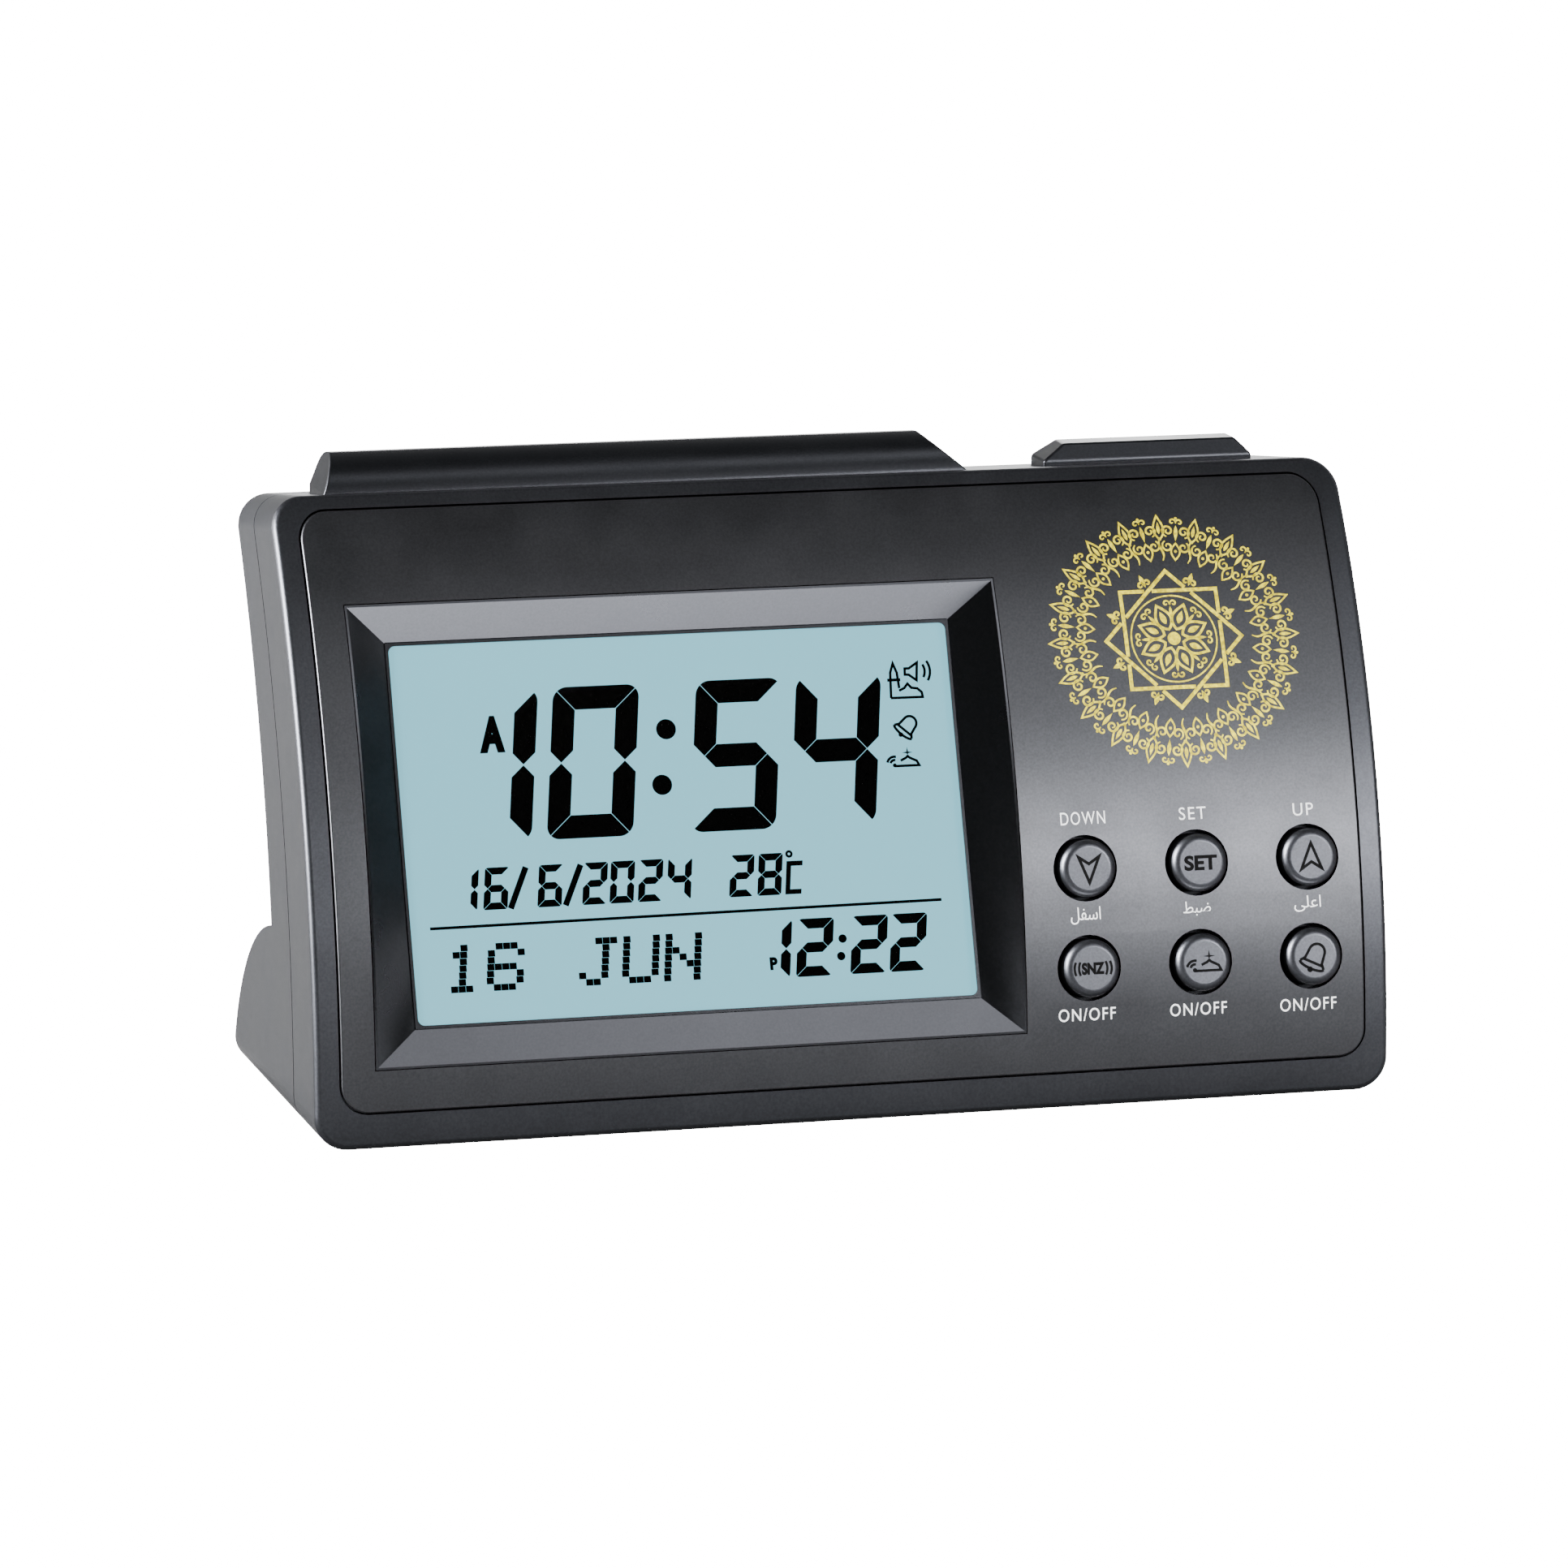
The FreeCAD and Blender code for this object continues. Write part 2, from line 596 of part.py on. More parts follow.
def key_holes(name):
    w = ("-deep_cut", "fascia_proud + overcut")
    rods = [rod(f"{name}_{key}", KEYS, u, v, w, "key_hole_radius") for key, u, v in key_places()]
    return fuse(name, *rods)


def top_opening(name, x, y):
    """Hole through the top face for a button."""
    gap = "move_gap"
    u = (f"({x[0]}) - {gap}", f"({x[1]}) + {gap}")
    v = (f"({y[0]}) - {gap}", f"({y[1]}) + {gap}")
    low = f"{top_z(y[1])} - 2 * wall"
    return block(name, LEVEL, u, v, (low, "foot_proud + body_height + overcut"))


# ---------------------------------------------------------------- screws and bosses
def boss(name, frame, u, v, w):
    """Round boss with a pilot hole, as (boss, hole)."""
    solid = rod(name, frame, u, v, w, "boss_radius")
    hole = rod(name + "_hole", frame, u, v, w, "screw_radius + running_gap")
    return solid, hole


def screw(name, frame, u, v, seat, size):
    """Cross-head screw driven towards +w. Its head lies on the seat; size is (shank radius,
    length, head radius, head height)."""
    shank, length, head_radius, head = size
    low = f"({seat}) - {head}"
    solid = fuse(
        name + "_solid",
        rod(name + "_shank", frame, u, v, (seat, f"({seat}) + {length}"), shank),
        rod(name + "_head", frame, u, v, (low, seat), head_radius))
    arm = f"({head_radius} - cross_margin)"
    slot = (low, f"({low}) + cross_depth")
    half = "cross_width / 2"
    recess = [
        block(name + "_slot_u", frame, around(u, arm), around(v, half), slot),
        block(name + "_slot_v", frame, around(u, half), around(v, arm), slot),
    ]
    return cut(name, solid, *recess)


def around(middle, half):
    return f"({middle}) - {half}", f"({middle}) + {half}"


BOARD_SCREW = ("screw_radius", "screw_length", "screw_head_radius", "screw_head")
CASE_SCREW = ("case_screw_radius", "case_screw_length", "case_head_radius", "case_head")
BOARD_LEFT = "(board_from_left - width / 2)"
BOARD_RIGHT = "(width / 2 - board_from_right)"
BOARD_HALF = f"({WINDOW_HALF} + display_margin + holder_wall)"
EAR_SCREW = "(ear_screw_from_left - width / 2)"
SIDE_SCREW = "(width / 2 - side_screw_from_right)"
BETWEEN_KEY_ROWS = f"(({KEY_MID} - {WINDOW_MID}) / cos(screen_tilt))"
MAIN_SCREWS = [
    (EAR_SCREW, f"({BOARD_HALF} - ear_inset)"),
    (EAR_SCREW, f"(ear_inset - {BOARD_HALF})"),
    (SIDE_SCREW, f"({BOARD_HALF} - side_screw_inset)"),
    (SIDE_SCREW, BETWEEN_KEY_ROWS),
]
KEY_SCREWS = [f"({KEY_COLUMNS[0]} + key_pitch / 2)", f"({KEY_COLUMNS[2]} - key_pitch / 2)"]
BAR_X = ("(bar_from_left - width / 2)", "(width / 2 - bar_from_right)")
BUTTON_X = ("(width / 2 - button_from_right - button_width)", "(width / 2 - button_from_right)")
TOP_BOARD_X = ("(top_board_from_left - width / 2)", "(width / 2 - top_board_from_right)")
TOP_SCREWS = [
    f"({TOP_BOARD_X[0]} + top_screw_inset)",
    f"(({BAR_X[1]} + {BUTTON_X[0]}) / 2)",
    f"({TOP_BOARD_X[1]} - top_screw_inset)",
]
MAIN_BOARD = ("-(board_standoff + board_thickness)", "-board_standoff")
KEY_FLANGE = f"-(wall + ({KEY_ROW} + key_flange_radius) ^ 2 / front_radius / 2 + move_gap)"
KEY_STEM_END = f"({KEY_FLANGE} - key_flange - key_stem)"
KEY_SWITCH = f"({KEY_STEM_END} - plunger_proud)"
KEY_BOARD = (f"{KEY_SWITCH} - switch_height - board_thickness", f"{KEY_SWITCH} - switch_height")
TOP_BOARD_LOW = "(foot_proud + body_height - top_board_drop)"
TOP_BOARD = (TOP_BOARD_LOW, f"{TOP_BOARD_LOW} + board_thickness")
TOP_BOARD_FRONT = f"({FRONT_TOP_Y} + top_board_setback)"
TOP_BOARD_Y = (TOP_BOARD_FRONT, f"{TOP_BOARD_FRONT} + top_board_depth")
TOP_BOARD_MID = f"({TOP_BOARD_FRONT} + top_board_depth / 2)"
TOP_SWITCH = f"({TOP_BOARD[1]} + switch_height)"
TOP_STEM_END = f"({TOP_SWITCH} + plunger_proud)"
BAR_Y = (f"{FRONT_TOP_Y} + bar_rim + move_gap", f"{FRONT_TOP_Y} + bar_rim + move_gap + bar_depth")
BUTTON_Y = (f"{FRONT_TOP_Y} + button_setback", f"{FRONT_TOP_Y} + button_setback + button_depth")


def case_screw_places():
    for side in both("(width / 2 - case_screw_from_side)"):
        for height in ("case_screw_low", "(body_height - case_screw_from_top)"):
            yield side, f"foot_proud + {height}", f"({front_y(height)} + seam_depth)"


# ---------------------------------------------------------------- shells
def front_shell(walls, cavity):
    shell = cut("front_walls", walls, behind_seam("front_seam", "0"))
    bosses = []
    holes = []
    for index, (u, v) in enumerate(MAIN_SCREWS):
        solid, hole = boss(f"main_boss_{index}", SCREEN, u, v, ("-board_standoff", "seam_depth"))
        bosses.append(solid)
        holes.append(hole)
    for index, u in enumerate(KEY_SCREWS):
        solid, hole = boss(f"key_boss_{index}", KEYS, u, "0", (KEY_BOARD[1], "0"))
        bosses.append(solid)
        holes.append(hole)
    for index, u in enumerate(TOP_SCREWS):
        solid, hole = boss(
            f"top_boss_{index}", LEVEL, u, TOP_BOARD_MID,
            (TOP_BOARD[1], f"foot_proud + body_height"))
        bosses.append(solid)
        holes.append(hole)
    for index, (x, z, seam) in enumerate(case_screw_places()):
        bosses.append(
            post(f"case_boss_{index}", x, z, (FRONT, f"{seam} - fit_gap"), "case_boss_radius"))
        deep = f"{seam} + case_seat - case_screw_length - overcut"
        holes.append(post(
            f"case_boss_{index}_hole", x, z, (deep, seam), "case_screw_radius + running_gap"))
    inner = case_solid("front_inner", "wall / 2")
    kept = common("front_bosses", fuse("front_boss_set", *bosses), inner)
    seat = cut(
        "fascia_seat", fascia_outline("fascia_seat_outline", "fascia_gap"),
        front_cylinder("fascia_seat_floor", FASCIA_BACK))
    blind = common("front_holes", fuse("front_hole_set", *holes), cavity)
    return cut(
        "front_shell", fuse("front_solid", shell, kept),
        seat,
        screen_hole("shell_screen_hole", "fit_gap"),
        key_holes("shell_key_holes"),
        top_opening("bar_opening", BAR_X, BAR_Y),
        top_opening("button_opening", BUTTON_X, BUTTON_Y),
        *pads("front_pad_seat", "fit_gap", [PAD_FRONT]),
        blind)


def rear_shell(walls, cavity):
    shell = common("rear_walls", walls, behind_seam("rear_seam", "seam_gap"))
    tubes = []
    holes = []
    for index, (x, z, seam) in enumerate(case_screw_places()):
        head = f"{seam} + case_seat"
        tubes.append(
            post(f"case_tube_{index}", x, z, (seam, "depth / 2"), "case_boss_radius"))
        holes.append(post(
            f"case_tube_{index}_hole", x, z, (f"{seam} - overcut", head),
            "case_screw_radius + move_gap"))
        holes.append(post(
            f"case_tube_{index}_bore", x, z, (head, "depth / 2 + overcut"),
            "case_head_radius + fit_gap"))
    bay = bay_block("bay_outside", "bay_wall")
    seat = rod(
        "speaker_seat", SPEAKER, SPEAKER_X, "0", ("-2 * wall", "speaker_seat"), "speaker_radius")
    inner = fuse("rear_inner_set", *tubes, bay, seat)
    kept = common("rear_inner", inner, case_solid("rear_inner_room", "wall / 2"))
    return cut(
        "rear_shell", fuse("rear_solid", shell, kept, *lip(cavity)),
        common("bay_room", bay_block("bay_inside", "0"), cavity),
        rod("speaker_seat_bore", SPEAKER, SPEAKER_X, "0", ("0", "speaker_seat + overcut"),
            "speaker_radius - seat_width"),
        door_sector("door_hole", "fit_gap", "door_gap_angle", "door_thickness + fit_gap"),
        foot_band(
            "door_passage", both(f"{BAY_INNER} / 2"),
            ("foot_radius - wall - overcut", "foot_radius"),
            ("door_low_angle + door_seat_angle", "door_high_angle - door_seat_angle")),
        *wire_holes(),
        *grille(),
        *pads("rear_pad_seat", "fit_gap", [PAD_BACK]),
        *holes)


BAY_INNER = (
    "(cell_length + cell_button + contact_dimple + 2 * contact_thickness + spring_length)")
BAY_FRONT = f"({on_foot('cell_circle', 'cell_high_angle')[0]} - cell_radius - cell_gap)"
BAY_TOP = f"({on_foot('foot_radius', 'door_high_angle')[1]} + bay_over_door)"


def bay_block(name, grow):
    """Room of the battery bay, larger by grow at its front, top and ends."""
    return block(
        name, LEVEL, both(f"{BAY_INNER} / 2 + {grow}"), (f"{BAY_FRONT} - {grow}", "depth / 2"),
        ("foot_proud", f"{BAY_TOP} + {grow}"))


def lip(cavity):
    """Locating lip of the rear shell: its root on the wall, and the part in the front shell."""
    inner = case_solid("lip_inner", "wall + fit_gap + lip_thickness")
    outer = case_solid("lip_outer", "wall + fit_gap")
    free_top = block(
        "lip_break", LEVEL, both("width / 2"), (FRONT, "depth / 2"),
        (TOP_BOARD_LOW, "foot_proud + 2 * body_height"))
    root = common(
        "lip_root", cut("lip_root_ring", cavity, inner), behind_seam("lip_root_seam", "seam_gap"))
    root = cut(
        "lip_root_short", root, behind_seam("lip_root_end", "seam_gap + 2 * lip_height"), free_top)
    tip = common(
        "lip_tip", cut("lip_tip_ring", outer, inner), behind_seam("lip_tip_seam", "-lip_height"))
    tip = cut("lip_tip_short", tip, behind_seam("lip_tip_end", "seam_gap + lip_height"), free_top)
    return root, tip


def door_sector(name, gap, edge, depth):
    """Band of the foot's curved wall for the battery door, larger by a gap."""
    return foot_band(
        name, both(f"{BAY_INNER} / 2 + door_lap + 2 * {gap}"),
        (f"foot_radius - ({depth})", f"foot_radius + {gap}"),
        (f"door_low_angle - {edge}", f"door_high_angle + {edge}"))


def foot_band(name, x, radii, angles):
    """Band about the centre of the foot curve, between two radii and two angles."""
    inside, outside = radii
    return profile(name, [
        on_foot(inside, angles[0]),
        (*on_foot(outside, angles[0]), outside, 1),
        on_foot(outside, angles[1]),
        (*on_foot(inside, angles[1]), inside, -1),
    ], x)


def wire_holes():
    """Holes in the end wall of the bay for the battery wires."""
    x = (f"{BAY_INNER} / 2 - overcut", f"{BAY_INNER} / 2 + bay_wall + overcut")
    return [
        axle(f"wire_hole_{angle}", x, *on_foot("cell_circle", angle), "wire_radius + fit_gap")
        for angle in ("cell_low_angle", "cell_high_angle")]


def grille():
    """Sound holes in rings of six, twelve and so on round a middle one."""
    w = ("-4 * wall", "2 * wall")
    holes = [rod("sound_hole_0", SPEAKER, SPEAKER_X, "0", w, "grille_hole")]
    for ring in range(1, GRILLE_RINGS + 1):
        for step in range(6 * ring):
            turn = f"{step} * 360 / {6 * ring}"
            u = f"{SPEAKER_X} + {ring} * grille_pitch * cos({turn})"
            v = f"{ring} * grille_pitch * sin({turn})"
            holes.append(rod(f"sound_hole_{ring}_{step}", SPEAKER, u, v, w, "grille_hole"))
    return holes


PAD_FRONT = f"({FRONT} + pad_from_edge)"
PAD_BACK = "(depth / 2 - pad_from_edge)"


def pads(name, grow, rows):
    """Round rubber pads, or their seats, under the corners, at the given rows."""
    places = [(x, y) for y in rows for x in both("(width / 2 - pad_from_side)")]
    return [
        rod(f"{name}_{index}", LEVEL, x, y, ("0", f"pad_thickness + ({grow}) / 4"),
            f"pad_radius + ({grow})")
        for index, (x, y) in enumerate(places)]


# ---------------------------------------------------------------- front panel and keys
def fascia_panel():
    band = common(
        "fascia_band", fascia_outline("fascia_outline", "0"),
        front_cylinder("fascia_face", FASCIA_FACE))
    panel = cut("fascia_sheet", band, front_cylinder("fascia_back", f"{FASCIA_BACK} + glue_gap"))
    soft = rounded(
        "fascia_soft", panel, "fascia_edge", lambda edge: on_arc(edge, FRONT_CENTRE, FASCIA_FACE))
    return cut(
        "fascia_panel", soft, screen_hole("fascia_screen_hole", "fit_gap"),
        key_holes("fascia_key_holes"))


def screen_bezel():
    """Deep frame: a block through the front, hollowed by the bevel and by the display's seat."""
    raw = common(
        "bezel_front", screen_hole("bezel_block", "0"), front_cylinder("bezel_face", FASCIA_FACE))
    behind = block(
        "bezel_behind", SCREEN, WIDE, WIDE, ("-deep_cut", "-bezel_back"))
    pocket = display_plate("bezel_seat", ("-deep_cut", "0"), "fit_gap")
    aperture = display_plate("bezel_aperture", ("-bezel_back", "bezel_rim"), "-display_margin")
    bevel = doc.addObject("Part::Feature", "bezel_bevel")
    bevel.Shape = bevel_solid()
    return cut("screen_bezel", raw, behind, pocket, aperture, bevel)


def display_plate(name, w, grow):
    """Plate in the display's frame, with the display's outline larger all round by grow."""
    edge = f"(display_margin + ({grow}))"
    u = (f"{WINDOW_LEFT} - {edge}", f"{WINDOW_RIGHT} + {edge}")
    return block(name, SCREEN, u, both(f"{WINDOW_HALF} + {edge}"), w)


def bevel_solid():
    """Room in front of the display: its small end is the visible rectangle on the display
    plane, its big end is a rectangle with curved sides on the front of the fascia."""
    lean = math.radians(number("screen_tilt"))
    origin = Vector(0, number(SCREEN.y), number(SCREEN.z))
    rise = Vector(0, math.sin(lean), math.cos(lean)) * number(WINDOW_HALF)
    left, right = number(WINDOW_LEFT), number(WINDOW_RIGHT)
    inner = [
        origin + Vector(x, 0, 0) + rise * side
        for x, side in ((left, -1), (right, -1), (right, 1), (left, 1))]
    centre = Vector(0, number(FRONT_CENTRE), number("foot_proud"))
    radius = number(FASCIA_FACE)

    def on_face(x, height):
        return centre + Vector(x, -math.sqrt(radius ** 2 - height ** 2), height)

    low, high = number("screen_low"), number(SCREEN_HIGH)
    left, right = number(SCREEN_LEFT), number(SCREEN_RIGHT)
    outer = [
        on_face(x, height)
        for x, height in ((left, low), (right, low), (right, high), (left, high))]
    arcs = [
        Part.Arc(on_face(x, low), on_face(x, (low + high) / 2), on_face(x, high)).toShape()
        for x in (left, right)]
    sides = [Part.makeLine(inner[3], inner[0]), Part.makeLine(inner[1], inner[2])]
    faces = [
        Part.Face(Part.makePolygon(inner + inner[:1])),
        Part.Face(Part.makePolygon([inner[0], inner[1], outer[1], outer[0], inner[0]])),
        Part.Face(Part.makePolygon([inner[3], inner[2], outer[2], outer[3], inner[3]])),
        Part.makeRuledSurface(*arcs),
        Part.makeRuledSurface(Part.makeLine(inner[0], inner[3]), arcs[0]),
        Part.makeRuledSurface(sides[1], arcs[1]),
    ]
    shell = Part.makeShell(faces)
    shell.sewShape()
    solid = Part.makeSolid(shell)
    if solid.Volume < 0:
        solid.reverse()
    return solid


def key_cap(name, u, v):
    """Key cap with its flange behind the front wall and the stem that pushes the switch."""
    cap = rod(f"{name}_cap", KEYS, u, v, (KEY_FLANGE, "key_proud"), "key_radius")
    crown = rounded(f"{name}_crown", cap, "key_crown", is_key_top)
    low = f"{KEY_FLANGE} - key_flange"
    flange = rod(f"{name}_flange", KEYS, u, v, (low, KEY_FLANGE), "key_flange_radius")
    stem = rod(f"{name}_stem", KEYS, u, v, (KEY_STEM_END, low), "key_stem_radius")
    return fuse(f"{name}_button", crown, flange, stem)


def is_key_top(edge):
    """Whether an edge is the front rim of a key cap."""
    return edge.isClosed() and edge.CenterOfMass.y < number(KEYS.y)


def plunger(name, frame, u, v, end):
    """Plunger of a push switch, with its tip at w = end."""
    return rod(name, frame, u, v, (f"{end} - plunger_proud - plunger_sunk", end), "plunger_radius")


def push_switch(name, frame, u, v, face, travel):
    """Push switch body with its front at w = face and a bore for the plunger."""
    half = "switch_side / 2"
    case = block(
        name + "_case", frame, around(u, half), around(v, half), (f"{face} - switch_height", face))
    depth = f"(plunger_sunk + {travel} + fit_gap)"
    bore = rod(
        name + "_bore", frame, u, v, (f"{face} - {depth}", f"{face} + overcut"),
        "plunger_radius + running_gap")
    return cut(name, case, bore)


# ---------------------------------------------------------------- top buttons
TOP_PLACES = (f"({BAR_X[0]} + bar_switch_inset)", f"({BAR_X[1]} - bar_switch_inset)")
BUTTON_MID = "(width / 2 - button_from_right - button_width / 2)"
FLANGE_TOP = "({0} - wall / cos(top_slope) - flange_out * tan(top_slope) - move_gap)"


def top_flange(name, x, y):
    """Flange that keeps a top button under the top wall, and its upper and lower z."""
    high = FLANGE_TOP.format(top_z(y[1]))
    low = f"{high} - flange_thickness"
    sideways = (f"{x[0]} - flange_out", f"{x[1]} + flange_out")
    solid = block(name, LEVEL, sideways, (y[0], f"{y[1]} + flange_out"), (low, high))
    return solid, low


def top_stem(name, x, low):
    return rod(name, LEVEL, x, TOP_BOARD_MID, (TOP_STEM_END, low), "key_stem_radius")


def light_bar():
    """Long bar: one (y, z) section all along, with both ends cut on the slant."""
    front, back = BAR_Y
    top = "(foot_proud + body_height + bar_rise)"
    foot = f"({top_z(front)})"
    flange, low = top_flange("bar_flange", BAR_X, BAR_Y)
    section = profile("bar_section", [
        (front, low),
        (back, low),
        (back, f"{top} - bar_crown - bar_back_drop", "bar_back_bow", 1),
        (f"{back} - bar_back_run", f"{top} - bar_crown"),
        (f"{front} + bar_face", top, "bar_bow", 1),
        (front, foot),
    ], BAR_X)
    left, right = BAR_X
    ends = plate("bar_ends", UPRIGHT, [
        (left, low),
        (right, low),
        (right, foot),
        (f"{right} - bar_slant_right", top),
        (f"{left} + bar_slant_left", top),
        (left, foot),
    ], (f"-({back} + overcut)", f"-({front} - overcut)"))
    stems = [top_stem(f"bar_stem_{index}", x, low) for index, x in enumerate(TOP_PLACES)]
    return fuse("light_bar", common("bar_body", section, ends), flange, *stems)


def top_button():
    """Short button with a hipped top."""
    x = BUTTON_X
    back = BUTTON_Y[1]
    top = "(foot_proud + body_height + button_rise)"
    flange, low = top_flange("button_flange", x, BUTTON_Y)
    shoulder = f"({top} - button_hip)"
    shaft = block("button_shaft", LEVEL, x, BUTTON_Y, (low, shoulder))
    hip = doc.addObject("Part::Wedge", "button_hip")
    bind(
        hip,
        Xmin="0", Xmax="button_width",
        X2min="button_slant_left", X2max="button_width - button_slant_right",
        Ymin="0", Ymax="button_hip",
        Zmin="0", Zmax="button_depth", Z2min="button_slant_deep",
        Z2max="button_depth - button_slant_deep")
    put(hip, UPRIGHT, x[0], shoulder, f"-({back})")
    return fuse("top_button", shaft, hip, flange, top_stem("button_stem", BUTTON_MID, low))


# ---------------------------------------------------------------- display stack and boards
def display_holder():
    ring = display_plate(
        "holder_outside", ("-board_standoff", "-bezel_back"), "fit_gap + holder_wall")
    return cut("lcd_holder", ring, display_plate("holder_inside", ("-deep_cut", "0"), "fit_gap"))


WINDOW = ("-window_thickness", "0")
LCD = ("-(window_thickness + glue_gap + lcd_thickness)", "-(window_thickness + glue_gap)")
GUIDE = (f"{LCD[0]} - glue_gap - guide_thickness", f"{LCD[0]} - glue_gap")
SHEET_U = (f"{WINDOW_LEFT} - display_margin", f"{WINDOW_RIGHT} + display_margin")
SHEET_V = both(f"{WINDOW_HALF} + display_margin")


def light_guide():
    u = (f"{SHEET_U[0]} + led_width + fit_gap", SHEET_U[1])
    return block("backlight_guide", SCREEN, u, (f"{SHEET_V[0]} + guide_cut", SHEET_V[1]), GUIDE)


def backlight_led():
    u = (SHEET_U[0], f"{SHEET_U[0]} + led_width")
    return block("backlight_led", SCREEN, u, both("led_length / 2"), ("-board_standoff", GUIDE[1]))


def zebra_strip():
    u = (f"{WINDOW_LEFT} + zebra_inset", f"{WINDOW_RIGHT} - zebra_inset")
    v = (f"{SHEET_V[0]} + glue_gap", f"{SHEET_V[0]} + glue_gap + zebra_thickness")
    return block("zebra_strip", SCREEN, u, v, ("-board_standoff", LCD[0]))


def main_board():
    base = block(
        "main_board_sheet", SCREEN, (BOARD_LEFT, BOARD_RIGHT), both(BOARD_HALF), MAIN_BOARD)
    ear_u = ("(ear_from_left - width / 2)", BOARD_LEFT)
    ears = [
        block(f"main_board_ear_{index}", SCREEN, ear_u, around(v, "ear_half"), MAIN_BOARD)
        for index, (_, v) in enumerate(MAIN_SCREWS[:2])]
    holes = [
        board_hole(f"main_board_hole_{index}", SCREEN, u, v, MAIN_BOARD)
        for index, (u, v) in enumerate(MAIN_SCREWS)]
    return cut("main_board", fuse("main_board_solid", base, *ears), *holes)


def board_hole(name, frame, u, v, w):
    """Screw hole through a board that lies between two w."""
    through = (f"{w[0]} - overcut", f"{w[1]} + overcut")
    return rod(name, frame, u, v, through, "screw_radius + fit_gap")


def on_main_board(height):
    """Range of w for a part that stands on the back of the main board."""
    return f"{MAIN_BOARD[0]} - {height}", MAIN_BOARD[0]


KEY_BOARD_X = (
    f"({KEY_COLUMNS[0]} - key_board_margin)", f"({KEY_COLUMNS[2]} + key_board_margin)")


def key_board():
    base = block("key_board_sheet", KEYS, KEY_BOARD_X, both("key_board_half"), KEY_BOARD)
    holes = [
        board_hole(f"key_board_hole_{index}", KEYS, u, "0", KEY_BOARD)
        for index, u in enumerate(KEY_SCREWS)]
    return cut("key_board", base, *holes)


def top_board():
    base = block("top_board_sheet", LEVEL, TOP_BOARD_X, TOP_BOARD_Y, TOP_BOARD)
    holes = [
        board_hole(f"top_board_hole_{index}", LEVEL, u, TOP_BOARD_MID, TOP_BOARD)
        for index, u in enumerate(TOP_SCREWS)]
    return cut("top_board", base, *holes)


# ---------------------------------------------------------------- loudspeaker
RIM = ("speaker_seat", "speaker_seat + speaker_rim")


def at_speaker(name, w, radii):
    return taper(name, SPEAKER, SPEAKER_X, "0", w, radii)


def speaker_basket():
    depth = (RIM[1], f"{RIM[1]} + basket_depth")
    wide = "(speaker_radius - seat_width)"
    outside = at_speaker("basket_outside", depth, (wide, "basket_end_radius"))
    rim = rod("basket_rim", SPEAKER, SPEAKER_X, "0", RIM, "speaker_radius")
    inside = at_speaker(
        "basket_inside", (RIM[1], f"{depth[1]} - basket_wall"),
        (f"{wide} - basket_wall", "basket_end_radius - basket_wall"))
    mouth = rod(
        "basket_mouth", SPEAKER, SPEAKER_X, "0", (f"{RIM[0]} - overcut", RIM[1]),
        f"{wide} - basket_wall")
    return cut("speaker_basket", fuse("basket_solid", outside, rim), inside, mouth)


def speaker_cone():
    """Paper cone with its narrow end on the magnet's side."""
    start = f"({RIM[0]} + basket_wall)"
    wide = "(speaker_radius - seat_width - basket_wall - fit_gap)"
    w = (start, f"{start} + cone_depth")
    outside = at_speaker("cone_outside", w, (wide, "cone_tip"))
    inside = at_speaker(
        "cone_inside", (f"{w[0]} - cone_wall", f"{w[1]} - cone_wall"), (wide, "cone_tip"))
    return cut("speaker_cone", outside, inside)


# ---------------------------------------------------------------- battery bay
def cell(name, angle, way):
    """AA cell along X. Its button points to +X if way is 1, else to -X."""
    y, z = on_foot("cell_circle", angle)
    taken = "(contact_thickness + contact_dimple + cell_button)"
    button_from = f"({way} * ({BAY_INNER} / 2 - {taken}))"
    can_x = sorted_ends(way, f"{button_from} - {way} * cell_length", button_from)
    tip_x = sorted_ends(way, button_from, f"{button_from} + {way} * cell_button")
    can = axle(name + "_can", can_x, y, z, "cell_radius")
    tip = axle(name + "_tip", tip_x, y, z, "cell_button_radius")
    return fuse(name, can, tip)


def sorted_ends(way, first, second):
    return (first, second) if way > 0 else (second, first)


def contact_parts(name, angle, side, sprung):
    """Plate at one end of a cell, with a raised dot or a spring. The side is 1 at +X."""
    y, z = on_foot("cell_circle", angle)
    wall_x = f"({side} * {BAY_INNER} / 2)"
    plate_x = f"({wall_x} - {side} * contact_thickness)"
    half = "contact_side / 2"
    sheet_metal = block(
        name + "_plate", LEVEL, sorted_ends(-side, wall_x, plate_x), around(y, half),
        around(z, half))
    if not sprung:
        tip = f"({plate_x} - {side} * contact_dimple)"
        dot = axle(name + "_dot", sorted_ends(-side, plate_x, tip), y, z, "cell_button_radius")
        return sheet_metal, dot
    tip = f"({plate_x} - {side} * spring_length)"
    radii = sorted_ends(side, "spring_tip", "spring_radius")
    spring = axle(name + "_spring", sorted_ends(-side, plate_x, tip), y, z, radii, "Part::Cone")
    return sheet_metal, spring


def contact_bridge():
    """Plate that joins both cells at the left end."""
    lower = contact_parts("bridge_lower", "cell_low_angle", -1, True)
    upper = contact_parts("bridge_upper", "cell_high_angle", -1, False)
    low_y, low_z = on_foot("cell_circle", "cell_low_angle")
    high_y, high_z = on_foot("cell_circle", "cell_high_angle")
    link_x = (f"-{BAY_INNER} / 2", f"-{BAY_INNER} / 2 + contact_thickness")
    link = block("bridge_link", LEVEL, link_x, (high_y, low_y), (low_z, high_z))
    return fuse("contact_bridge", *lower, *upper, link)


